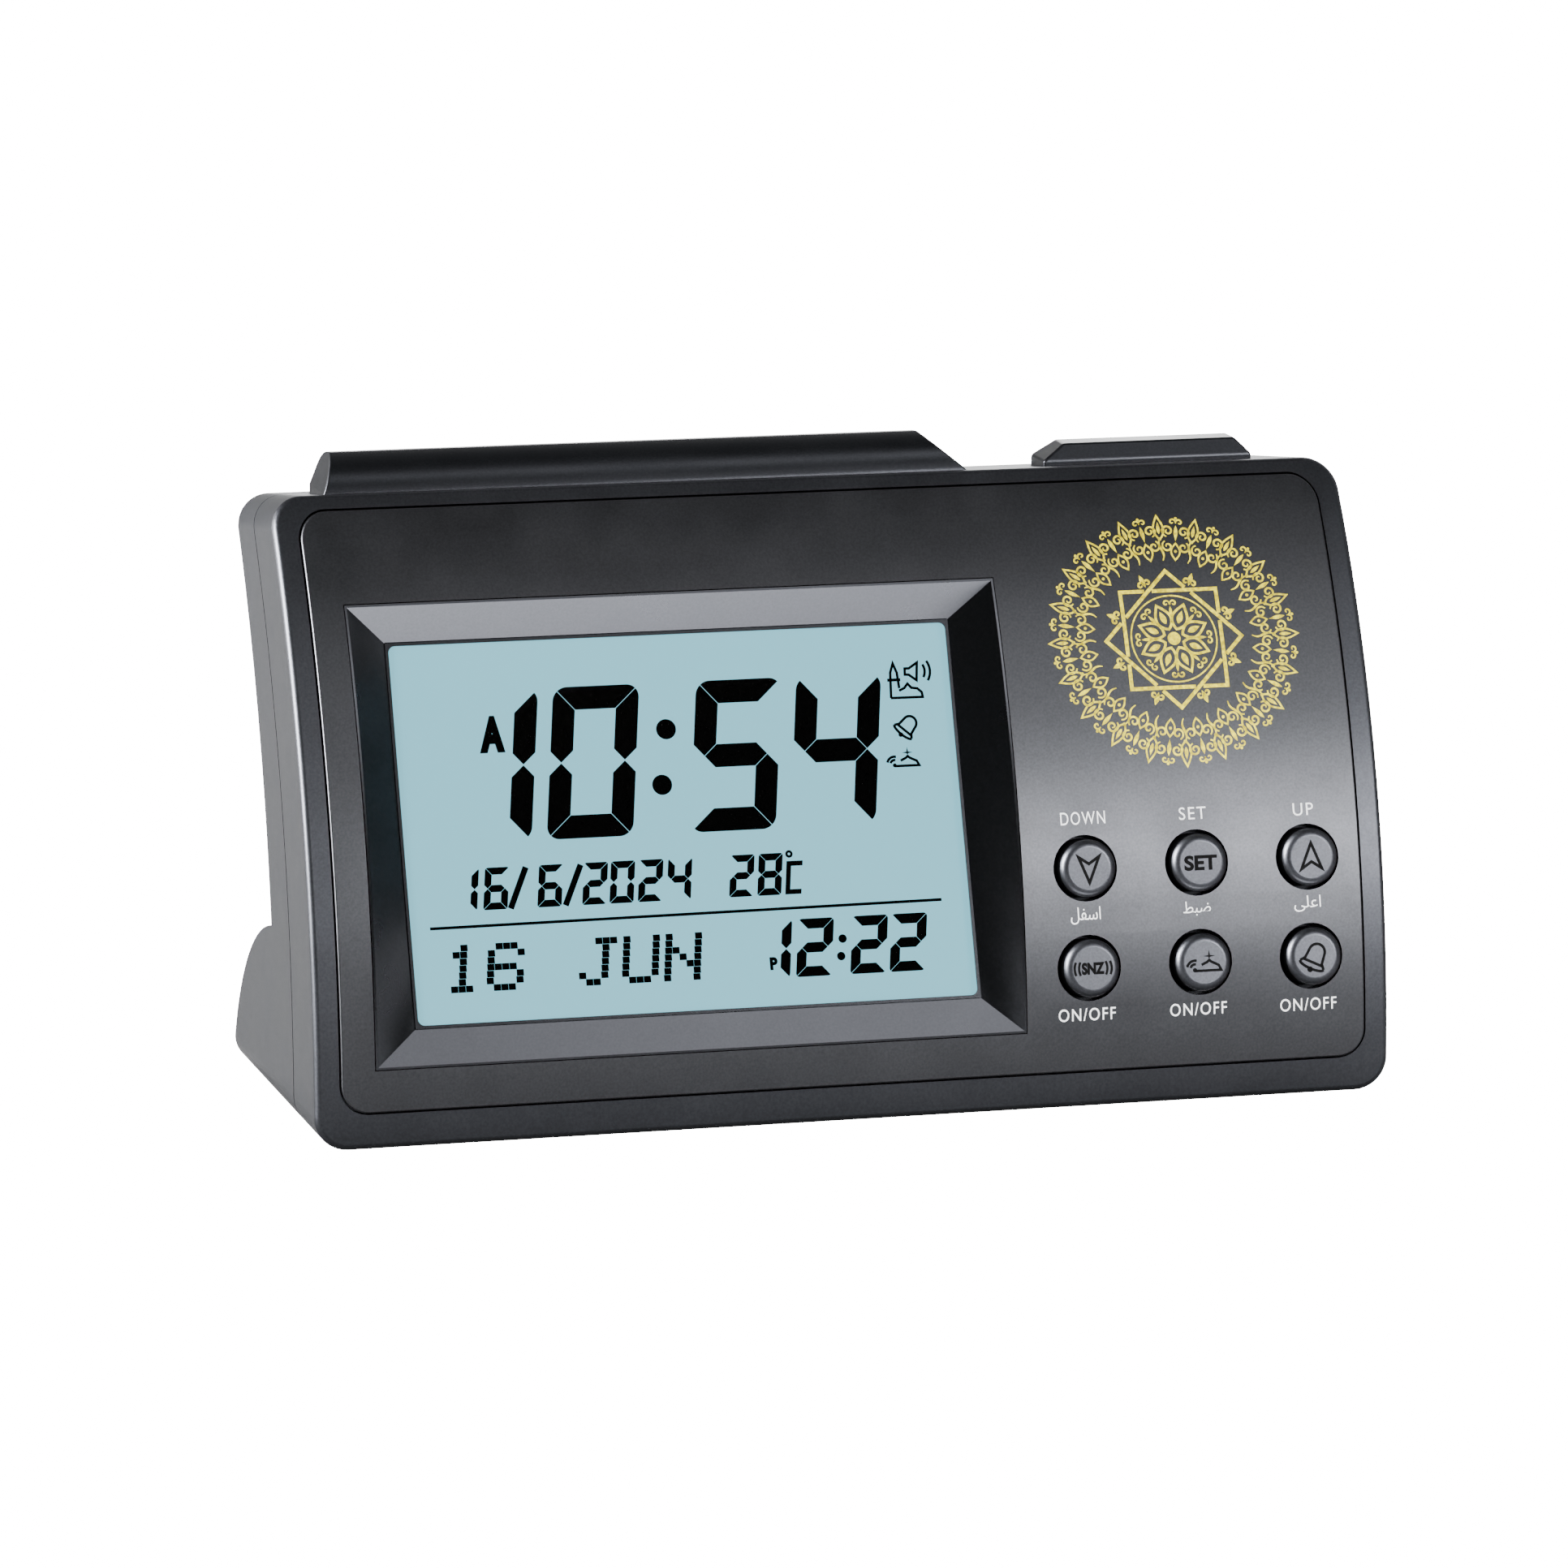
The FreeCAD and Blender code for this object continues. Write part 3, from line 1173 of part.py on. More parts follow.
def battery_door():
    panel = door_sector("door_panel", "0", "0", "door_thickness")
    rib = foot_band(
        "door_rib", both("grip_half"),
        ("foot_radius - door_thickness / 2", "foot_radius + grip_high"),
        around("door_high_angle - grip_low_angle", "grip_half_angle"))
    under = "(foot_radius - wall - move_gap)"
    root_from = "(door_low_angle + door_seat_angle + door_gap_angle)"
    pieces = [panel, rib]
    for side in (-1, 1):
        x = around(f"{side} * tab_place", "tab_width / 2")
        pieces.append(foot_band(
            f"door_tab_{side + 1}", x, (f"{under} - tab_thickness", under),
            ("door_low_angle - tab_angle", f"{root_from} + tab_angle")))
        pieces.append(foot_band(
            f"door_root_{side + 1}", x,
            (f"{under} - tab_thickness", "foot_radius - door_thickness / 2"),
            (root_from, f"{root_from} + tab_angle")))
    return fuse("battery_door", *pieces)


# ---------------------------------------------------------------- wires
def tube(name, points, radius):
    """Wire of straight runs joined by tangent arcs through a list of points."""
    corners = [Vector(*point) for point in points]
    edges = []
    here = corners[0]
    for before, corner, after in zip(corners, corners[1:], corners[2:]):
        back = (before - corner).normalize()
        onward = (after - corner).normalize()
        turn = math.pi - back.getAngle(onward)
        run = min((before - corner).Length, (after - corner).Length)
        reach = min(2 * run / 5, number("4 * wire_bend"))
        bend = reach / math.tan(turn / 2)
        middle = (back + onward).normalize()
        centre = corner + middle * math.hypot(bend, reach)
        start = corner + back * reach
        stop = corner + onward * reach
        top = centre - middle * bend
        edges.append(Part.LineSegment(here, start).toShape())
        edges.append(Part.Arc(start, top, stop).toShape())
        here = stop
    edges.append(Part.LineSegment(here, corners[-1]).toShape())
    path = Part.Wire(edges)
    way = (corners[1] - corners[0]).normalize()
    ring = Part.Wire(Part.makeCircle(radius, corners[0], way))
    cable = doc.addObject("Part::Feature", name)
    cable.Shape = path.makePipeShell([ring], True, True)
    length = sum(edge.Length for edge in edges)
    share = cable.Shape.Volume / (math.pi * radius ** 2 * length)
    print(f"{name}: {length:.0f} mm, volume {share:.3f} of section times length")
    return cable


def spot(frame, u, v, w):
    """Point of a frame, in numbers."""
    turn = math.radians(number(frame.turn))
    across, along, out = number(u), number(v), number(w)
    return Vector(
        across,
        number(frame.y) + along * math.cos(turn) - out * math.sin(turn),
        number(frame.z) + along * math.sin(turn) + out * math.cos(turn))


def speaker_wire(name, v, landing):
    """From a tag on the basket to the back of the main board."""
    end = f"({RIM[1]} + basket_depth)"
    tag = f"{SPEAKER_X} - (magnet_radius + basket_end_radius) / 2"
    inside = f"{BOARD_RIGHT} - 5 * wire_bend"
    return tube(name, [
        spot(SPEAKER, tag, v, end),
        spot(SPEAKER, tag, v, f"{end} + 4 * wire_bend"),
        spot(SCREEN, BOARD_RIGHT, landing, f"{MAIN_BOARD[0]} - 4 * wire_bend"),
        spot(SCREEN, inside, landing, f"{MAIN_BOARD[0]} - 3 * wire_bend"),
        spot(SCREEN, inside, landing, MAIN_BOARD[0]),
    ], number("wire_radius"))


def battery_wire(name, angle, landing):
    """From a battery contact through the bay's end wall to the back of the main board."""
    y, z = on_foot("cell_circle", angle)
    corner = f"{BAY_INNER} / 2 + 4 * wire_bend"
    low = f"-{WINDOW_HALF} + 4 * wire_bend"
    return tube(name, [
        spot(LEVEL, f"{BAY_INNER} / 2", y, z),
        spot(LEVEL, f"{BAY_INNER} / 2 + 5 * wire_bend", y, z),
        spot(LEVEL, corner, f"{BAY_FRONT} - 3 * wire_bend", z),
        spot(SCREEN, landing, low, f"{MAIN_BOARD[0]} - 3 * wire_bend"),
        spot(SCREEN, landing, low, MAIN_BOARD[0]),
    ], number("wire_radius"))


def key_cable():
    start = f"{KEY_BOARD_X[0]} + 2 * wire_bend"
    stop = f"{BOARD_RIGHT} - 2 * wire_bend"
    low = f"-{KEY_ROW}"
    return tube("key_cable", [
        spot(KEYS, start, "0", KEY_BOARD[0]),
        spot(KEYS, start, "0", f"{KEY_BOARD[0]} - 4 * wire_bend"),
        spot(SCREEN, stop, low, f"{MAIN_BOARD[0]} - 4 * wire_bend"),
        spot(SCREEN, stop, low, MAIN_BOARD[0]),
    ], number("cable_radius"))


def top_cable():
    high = f"{WINDOW_HALF} - 2 * wire_bend"
    return tube("top_cable", [
        spot(LEVEL, WINDOW_RIGHT, TOP_BOARD_MID, TOP_BOARD[0]),
        spot(LEVEL, WINDOW_RIGHT, TOP_BOARD_MID, f"{TOP_BOARD[0]} - 5 * wire_bend"),
        spot(SCREEN, WINDOW_RIGHT, high, f"{MAIN_BOARD[0]} - 4 * wire_bend"),
        spot(SCREEN, WINDOW_RIGHT, high, MAIN_BOARD[0]),
    ], number("cable_radius"))


# ---------------------------------------------------------------- assembly
def build():
    """Make every sub-part. Each one's label is the name of its file."""
    body, cavity = housing()
    walls = cut("case_walls", body, cavity)
    nodes = {}
    nodes["front_shell"] = front_shell(walls, cavity)
    nodes["rear_shell"] = rear_shell(walls, cavity)
    nodes["fascia_panel"] = fascia_panel()
    nodes["screen_bezel"] = screen_bezel()
    nodes["display_window"] = display_plate("display_window", WINDOW, "0")
    nodes["lcd_panel"] = display_plate("lcd_panel", LCD, "0")
    nodes["backlight_guide"] = light_guide()
    nodes["backlight_led"] = backlight_led()
    nodes["zebra_strip"] = zebra_strip()
    nodes["lcd_holder"] = display_holder()
    nodes["main_board"] = main_board()
    chip_v = around(f"{WINDOW_HALF} / 3", "chip_side / 2")
    nodes["main_chip"] = block(
        "main_chip", SCREEN, around(f"{WINDOW_LEFT} / 2", "chip_side / 2"), chip_v,
        on_main_board("chip_height"))
    crystal_y = spot_formula(SCREEN, f"-{WINDOW_HALF} / 4", f"{MAIN_BOARD[0]} - crystal_radius")
    nodes["quartz_crystal"] = axle(
        "quartz_crystal", around("0", "crystal_length / 2"), *crystal_y, "crystal_radius")
    nodes["temperature_sensor"] = rod(
        "temperature_sensor", SCREEN, WINDOW_LEFT, f"-{WINDOW_HALF} + wire_bend",
        on_main_board("sensor_height"), "sensor_radius")
    nodes["key_board"] = key_board()
    switches = []
    for key, u, v in key_places():
        nodes[f"{key}_button"] = key_cap(key, u, v)
        nodes[f"{key}_plunger"] = plunger(f"{key}_plunger", KEYS, u, v, KEY_STEM_END)
        switches.append(push_switch(f"{key}_switch", KEYS, u, v, KEY_SWITCH, "key_travel"))
    nodes["key_switches"] = group("key_switches", switches)
    nodes["light_bar"] = light_bar()
    nodes["top_button"] = top_button()
    spots = (*TOP_PLACES, BUTTON_MID)
    nodes["top_board"] = top_board()
    nodes["top_switches"] = group("top_switches", [
        push_switch(f"top_switch_{index}", LEVEL, x, TOP_BOARD_MID, TOP_SWITCH, "top_travel")
        for index, x in enumerate(spots)])
    nodes["light_bar_plungers"] = group("light_bar_plungers", [
        plunger(f"bar_plunger_{index}", LEVEL, x, TOP_BOARD_MID, TOP_STEM_END)
        for index, x in enumerate(TOP_PLACES)])
    nodes["top_button_plunger"] = plunger(
        "top_button_plunger", LEVEL, BUTTON_MID, TOP_BOARD_MID, TOP_STEM_END)
    nodes["speaker_basket"] = speaker_basket()
    nodes["speaker_cone"] = speaker_cone()
    end = f"{RIM[1]} + basket_depth"
    nodes["speaker_magnet"] = rod(
        "speaker_magnet", SPEAKER, SPEAKER_X, "0", (end, f"{end} + magnet_depth"), "magnet_radius")
    nodes["battery_lower"] = cell("battery_lower", "cell_low_angle", 1)
    nodes["battery_upper"] = cell("battery_upper", "cell_high_angle", -1)
    nodes["contact_bridge"] = contact_bridge()
    nodes["contact_plus"] = fuse(
        "contact_plus", *contact_parts("plus", "cell_low_angle", 1, False))
    nodes["contact_minus"] = fuse(
        "contact_minus", *contact_parts("minus", "cell_high_angle", 1, True))
    nodes["battery_door"] = battery_door()
    nodes["rubber_feet"] = group("rubber_feet", pads("foot", "0", (PAD_FRONT, PAD_BACK)))
    nodes["case_screws"] = group("case_screws", [
        case_screw(index, x, z, seam) for index, (x, z, seam) in enumerate(case_screw_places())])
    nodes["board_screws"] = group("board_screws", board_screws())
    nodes["speaker_wire_red"] = speaker_wire("speaker_wire_red", "wire_bend", f"{WINDOW_HALF} / 3")
    nodes["speaker_wire_black"] = speaker_wire(
        "speaker_wire_black", "-wire_bend", f"{WINDOW_HALF} / 5")
    nodes["battery_wire_red"] = battery_wire("battery_wire_red", "cell_low_angle", WINDOW_RIGHT)
    nodes["battery_wire_black"] = battery_wire(
        "battery_wire_black", "cell_high_angle", f"({WINDOW_RIGHT} + 3 * wire_bend)")
    nodes["key_cable"] = key_cable()
    nodes["top_cable"] = top_cable()
    return nodes


def spot_formula(frame, v, w):
    """Y and z formulas of a point of a frame."""
    y = f"{frame.y} + ({v}) * cos({frame.turn}) - ({w}) * sin({frame.turn})"
    z = f"{frame.z} + ({v}) * sin({frame.turn}) + ({w}) * cos({frame.turn})"
    return y, z


def case_screw(index, x, z, seam):
    """Screw along -Y, with its head in the rear shell's tube."""
    return screw(f"case_screw_{index}", UPRIGHT, x, z, f"-({seam} + case_seat)", CASE_SCREW)


def board_screws():
    """Screws of the three boards, all of one size."""
    main = [
        screw(f"main_screw_{index}", SCREEN, u, v, MAIN_BOARD[0], BOARD_SCREW)
        for index, (u, v) in enumerate(MAIN_SCREWS)]
    keys = [
        screw(f"key_screw_{index}", KEYS, u, "0", KEY_BOARD[0], BOARD_SCREW)
        for index, u in enumerate(KEY_SCREWS)]
    top = [
        screw(f"top_screw_{index}", LEVEL, u, TOP_BOARD_MID, TOP_BOARD[0], BOARD_SCREW)
        for index, u in enumerate(TOP_SCREWS)]
    return main + keys + top


def check(nodes):
    """Stop if any object failed or any sub-part has no sound shape."""
    faults = [item.Name for item in doc.Objects if {"Invalid", "Error"} & set(item.State)]
    faults += [
        name for name, part in nodes.items() if part.Shape.isNull() or not part.Shape.isValid()]
    if faults:
        raise SystemExit(f"failed: {faults}")


def write(nodes):
    os.makedirs("parts", exist_ok=True)
    for name, part in nodes.items():
        part.Label = name
        part.Shape.exportStep(f"parts/{name}.step")


nodes = build()
doc.recompute()
check(nodes)
write(nodes)
for name, part in sorted(nodes.items()):
    print(f"{name}: {len(part.Shape.Solids)} solid, {part.Shape.Volume:.0f} mm3")
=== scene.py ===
# %% [markdown]
# # A desk clock for prayer times
#
# The housing, its keys and its battery door come from the CAD frame, already in place and in
# metres. This lesson adds what a mould and a lathe don't make: the liquid crystal segments, the
# printed words, the gold ornament, the icons on the keys, and every surface finish.

# %% Load the frame
import math
import bmesh
import bpy
import numpy as np
from mathutils import Matrix, Vector
from mathutils.geometry import tessellate_polygon


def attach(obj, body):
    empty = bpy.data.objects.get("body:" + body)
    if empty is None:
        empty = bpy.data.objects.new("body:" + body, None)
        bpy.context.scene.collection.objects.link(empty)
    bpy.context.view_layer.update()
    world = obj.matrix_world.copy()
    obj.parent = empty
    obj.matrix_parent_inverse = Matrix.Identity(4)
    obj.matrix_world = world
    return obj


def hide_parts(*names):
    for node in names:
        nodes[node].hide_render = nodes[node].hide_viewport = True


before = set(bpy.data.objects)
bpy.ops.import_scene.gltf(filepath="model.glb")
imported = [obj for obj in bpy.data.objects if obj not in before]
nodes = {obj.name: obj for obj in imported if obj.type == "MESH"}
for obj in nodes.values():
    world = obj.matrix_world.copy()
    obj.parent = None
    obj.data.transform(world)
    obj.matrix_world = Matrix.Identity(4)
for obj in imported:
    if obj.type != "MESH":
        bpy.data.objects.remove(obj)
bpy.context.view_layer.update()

# %% [markdown]
# ## Camera
#
# A long lens stands low and to the left, so the left flank and a sliver of the top show. The
# axes of the camera are worked out from three angles: around, up, and roll.

# %% Camera
MM = 0.001
AROUND, UPWARD, ROLL = (math.radians(angle) for angle in (-16.14, 11.78, 0.57))
AIM = np.array([0.0, -11.0, 50.5]) * MM
DISTANCE = 1.367
LENS, SENSOR = 193.42, 36.0
SHIFT = (-0.02933, 0.00534)
CLIP = (0.05, 20.0)


def camera_axes(around, upward, roll):
    """Right, up and backward directions. Backward points from the target to the camera; right
    lies level, square to it; then right and up turn together by the roll."""
    back = np.array([
        math.sin(around) * math.cos(upward), -math.cos(around) * math.cos(upward),
        math.sin(upward)])
    right = np.cross(-back, [0, 0, 1])
    right /= np.linalg.norm(right)
    up = np.cross(right, -back)
    turned = math.cos(roll) * right + math.sin(roll) * up
    return turned, math.cos(roll) * up - math.sin(roll) * right, back


def aimed_at_clock(axes, distance):
    """Place of a camera or a lamp that looks at the clock: its own axes are the three given
    ones, and it stands the distance away from the aim, along the backward one."""
    return Matrix.Translation(AIM + axes[2] * distance) @ Matrix(
        np.stack(axes, axis=1).tolist()).to_4x4()


def place_camera():
    """A camera looks along its own -Z, so its Z is the backward direction."""
    data = bpy.data.cameras.new("studio_camera")
    data.lens, data.sensor_width = LENS, SENSOR
    data.shift_x, data.shift_y = SHIFT
    data.clip_start, data.clip_end = CLIP
    camera = bpy.data.objects.new("studio_camera", data)
    camera.matrix_world = aimed_at_clock(camera_axes(AROUND, UPWARD, ROLL), DISTANCE)
    bpy.context.scene.collection.objects.link(camera)
    bpy.context.scene.camera = camera
    return camera


camera = place_camera()
print("camera at", [round(x, 3) for x in camera.matrix_world.translation])

# %% [markdown]
# ## Studio
#
# A dark satin case shows little of its own colour: what we see on it is the room. A room that is
# dim in front and pale behind, a card that glows on the floor, and a few soft boxes draw the
# gradients. Each soft box is an area light that looks at the clock. The ones for the inks and
# for the floor behind the clock aren't seen in glossy surfaces. To the camera alone, the room is
# pure white.

# %% Room and soft boxes
ROOM_BACK, ROOM_FRONT, ROOM_SEEN = 0.8, 0.09, 24.0
BRIGHT_SIDE = math.radians(125)
DIM_BELOW, PALE_ABOVE = 0.1, 0.7
# middle, width and depth in metres; radiance
TABLE_GLOW = ((0.0, -0.085, 0.002), 0.20, 0.07, 6.8)
TABLE_GLOW_SPREAD = math.radians(95)
# around and upward in degrees; distance, width and height in metres; radiance
SOFT_BOXES = {
    "panel_glow": (28, 14, 1.1, 0.36, 0.20, 31.0),
    "panel_fall": (26, 38, 1.1, 0.50, 0.30, 2.0),
    "ink_light": (-42, 7, 1.2, 0.45, 0.45, 85.0),
    "edge_strip": (-130, 12, 0.9, 0.50, 0.70, 6.5),
    "side_box": (-84, 24, 1.1, 0.60, 0.70, 90.0),
    "bar_sheen": (38, 63, 1.1, 0.45, 0.16, 4.5),
    "frame_fill": (21, 40, 1.1, 0.60, 0.35, 1.35),
    "back_wash": (150, 16, 1.2, 1.00, 0.50, 5.0),
    "floor_wash": (180, 62, 0.9, 0.50, 0.50, 24.0),
}
UNSEEN_IN_GLOSS = ("ink_light", "floor_wash")


def new_nodes(owner):
    """The empty node tree of a material or a world."""
    owner.use_nodes = True
    owner.node_tree.nodes.clear()
    return owner.node_tree


def light_the_room():
    """Brightness rises with the dot product of the direction we look in and the bright side,
    so it is dim in front and on the left, and pale behind and on the right."""
    world = bpy.data.worlds.new("room")
    bpy.context.scene.world = world
    tree = new_nodes(world)
    make, link = tree.nodes.new, tree.links.new
    coordinates = make("ShaderNodeTexCoord")
    along = make("ShaderNodeVectorMath")
    along.operation = "DOT_PRODUCT"
    along.inputs[1].default_value = (math.sin(BRIGHT_SIDE), -math.cos(BRIGHT_SIDE), 0)
    ramp = make("ShaderNodeMapRange")
    ramp.inputs["From Min"].default_value = DIM_BELOW
    ramp.inputs["From Max"].default_value = PALE_ABOVE
    ramp.inputs["To Min"].default_value = ROOM_FRONT
    ramp.inputs["To Max"].default_value = ROOM_BACK
    ramp.interpolation_type = "SMOOTHSTEP"
    seen = make("ShaderNodeLightPath")
    pick = make("ShaderNodeMix")
    pick.inputs["B"].default_value = ROOM_SEEN
    background = make("ShaderNodeBackground")
    output = make("ShaderNodeOutputWorld")
    link(coordinates.outputs["Generated"], along.inputs[0])
    link(along.outputs["Value"], ramp.inputs["Value"])
    link(seen.outputs["Is Camera Ray"], pick.inputs["Factor"])
    link(ramp.outputs[0], pick.inputs["A"])
    link(pick.outputs["Result"], background.inputs["Strength"])
    link(background.outputs[0], output.inputs[0])


def area_light(name, place, width, height, radiance):
    """A rectangle that shines along its own -Z. Its power is its radiance times its area
    times pi."""
    data = bpy.data.lights.new(name, "AREA")
    data.shape, data.size, data.size_y = "RECTANGLE", width, height
    data.energy = radiance * width * height * math.pi
    lamp = bpy.data.objects.new(name, data)
    lamp.matrix_world = place
    bpy.context.scene.collection.objects.link(lamp)
    return lamp


def soft_box(name, around, upward, distance, width, height, radiance):
    """An area light that looks at the clock from two angles, in degrees, and a distance."""
    axes = camera_axes(math.radians(around), math.radians(upward), 0)
    lamp = area_light(name, aimed_at_clock(axes, distance), width, height, radiance)
    lamp.visible_glossy = name not in UNSEEN_IN_GLOSS


def table_glow(middle, width, depth, radiance):
    """A light card that lies on the floor before the clock and shines up, unseen."""
    place = Matrix.Translation(middle) @ Matrix.Rotation(math.pi, 4, "X")
    lamp = area_light("table_glow", place, width, depth, radiance)
    lamp.data.spread = TABLE_GLOW_SPREAD
    lamp.visible_camera = False


light_the_room()
table_glow(*TABLE_GLOW)
for name, settings in SOFT_BOXES.items():
    soft_box(name, *settings)
print("soft boxes:", ", ".join(SOFT_BOXES))

# %% [markdown]
# ## Finishes
#
# One recipe serves most parts. A fine noise is the grain of the mould: it is felt as bump and
# shifts the colour a little. A broad noise makes the gloss uneven, as handling does. Even values
# go straight into the shader's own sockets.

# %% The recipe for a finish
GRAIN_LOW, GRAIN_HIGH = 0.3, 0.7
GRAIN_DETAIL, CLOUD_DETAIL = 2.0, 4.0
BUMP_HEIGHT = 0.2 * MM
SMOOTHEST = 0.02
GREEN_SHARE = 0.8


def finish(name, dark, light, roughness, metallic=0.0, grain=2600.0, relief=0.02, spread=0.06,
           cloud=90.0, **sockets):
    """Material whose colour runs from dark to light with a fine noise of the given grain per
    metre, whose bump is that same noise, and whose roughness wanders by the spread with a broad
    noise. Further sockets of the shader are named with underscores."""
    material = bpy.data.materials.new(name)
    tree = new_nodes(material)
    make, link = tree.nodes.new, tree.links.new
    coordinates = make("ShaderNodeTexCoord")
    fine, broad = make("ShaderNodeTexNoise"), make("ShaderNodeTexNoise")
    fine.inputs["Scale"].default_value = grain
    fine.inputs["Detail"].default_value = GRAIN_DETAIL
    broad.inputs["Scale"].default_value = cloud
    broad.inputs["Detail"].default_value = CLOUD_DETAIL
    colours = make("ShaderNodeValToRGB")
    stops = ((GRAIN_LOW, dark), (GRAIN_HIGH, light))
    for element, (position, colour) in zip(colours.color_ramp.elements, stops):
        element.position, element.color = position, (*colour, 1)
    gloss = make("ShaderNodeMapRange")
    gloss.inputs["To Min"].default_value = max(SMOOTHEST, roughness - spread)
    gloss.inputs["To Max"].default_value = roughness + spread
    bump = make("ShaderNodeBump")
    bump.inputs["Strength"].default_value = relief
    bump.inputs["Distance"].default_value = BUMP_HEIGHT
    shader = make("ShaderNodeBsdfPrincipled")
    shader.inputs["Metallic"].default_value = metallic
    for socket, value in sockets.items():
        shader.inputs[socket.replace("_", " ")].default_value = value
    output = make("ShaderNodeOutputMaterial")
    link(coordinates.outputs["Object"], fine.inputs["Vector"])
    link(coordinates.outputs["Object"], broad.inputs["Vector"])
    link(fine.outputs["Fac"], bump.inputs["Height"])
    link(fine.outputs["Fac"], colours.inputs["Fac"])
    link(broad.outputs["Fac"], gloss.inputs["Value"])
    link(colours.outputs["Color"], shader.inputs["Base Color"])
    link(gloss.outputs[0], shader.inputs["Roughness"])
    link(bump.outputs["Normal"], shader.inputs["Normal"])
    link(shader.outputs[0], output.inputs[0])
    return material


def grey(level, tint=0.0):
    """Neutral colour, a little blue when the tint is above zero: red loses the tint, green a
    share of it."""
    return (level * (1 - tint), level * (1 - GREEN_SHARE * tint), level)


# %% [markdown]
# ## Painted shade in the holes
#
# The walls of the holes in the front panel and the skirts of the keys carry painted shade: their
# colour is darkened as the shade in the holes would darken them. We measure how far out a point
# lies, and let the colour fall to a tenth over a tenth of a millimetre. Distances here are in
# millimetres.

# %% Painted shade below a level
SCREEN_TILT, SCREEN_ORIGIN = math.radians(20.27), (0.0, -17.39, 48.215)
KEYS_TILT, KEYS_ORIGIN = math.radians(10.69), (0.0, -28.118, 31.3)
FACE_CENTRE, FACE_RADIUS = (135.0, 0.5), 166.4
# levels below which painted shade darkens the hole walls and the key skirts, and the share of
# colour left there
FACE_SHADE_FROM, KEY_SHADE_FROM = -0.45, 1.30
SHADE_FADE, SHADED_SHARE = 0.1, 0.1


def vector_step(tree, operation, vector, other=None):
    """The node that works out one step of vector arithmetic."""
    step = tree.nodes.new("ShaderNodeVectorMath")
    step.operation = operation
    tree.links.new(vector, step.inputs[0])
    if other is not None:
        step.inputs[1].default_value = other
    return step


def out_of_face(tree, point):
    """Distance from the axis of the curved panel, and its value on the panel: the radius."""
    arm = vector_step(tree, "SUBTRACT", point, (0, FACE_CENTRE[0], FACE_CENTRE[1]))
    flat = vector_step(tree, "MULTIPLY", arm.outputs[0], (0, 1, 1))
    return vector_step(tree, "LENGTH", flat.outputs[0]).outputs["Value"], FACE_RADIUS


def out_of_keys(tree, point):
    """Height above the plane on which the keys stand, and its value on that plane: zero."""
    arm = vector_step(tree, "SUBTRACT", point, KEYS_ORIGIN)
    out = (0, -math.cos(KEYS_TILT), math.sin(KEYS_TILT))
    return vector_step(tree, "DOT_PRODUCT", arm.outputs[0], out).outputs["Value"], 0.0


def painted_shade_below(material, measure, level):
    """The same material with painted shade: its colour times a factor, which climbs from the
    shaded share to one while the measure climbs from the level through the fade."""
    tree = material.node_tree
    point = tree.nodes.new("ShaderNodeTexCoord").outputs["Object"]
    distance, zero = measure(tree, vector_step(tree, "DIVIDE", point, (MM, MM, MM)).outputs[0])
    ramp = tree.nodes.new("ShaderNodeMapRange")
    ramp.inputs["From Min"].default_value = zero + level
    ramp.inputs["From Max"].default_value = zero + level + SHADE_FADE
    ramp.inputs["To Min"].default_value = SHADED_SHARE
    tree.links.new(distance, ramp.inputs["Value"])
    base = tree.nodes["Principled BSDF"].inputs["Base Color"]
    shade = vector_step(tree, "SCALE", base.links[0].from_socket)
    tree.links.new(ramp.outputs[0], shade.inputs["Scale"])
    tree.links.new(shade.outputs[0], base)
    return material


# %% [markdown]
# ## Which finish goes where
#
# The shells, the front panel and the keys are satin charcoal, each a little lighter or darker,
# and the frame round the display is glossier. Inside are the green boards, tin, rubber and the
# wires' sleeves.

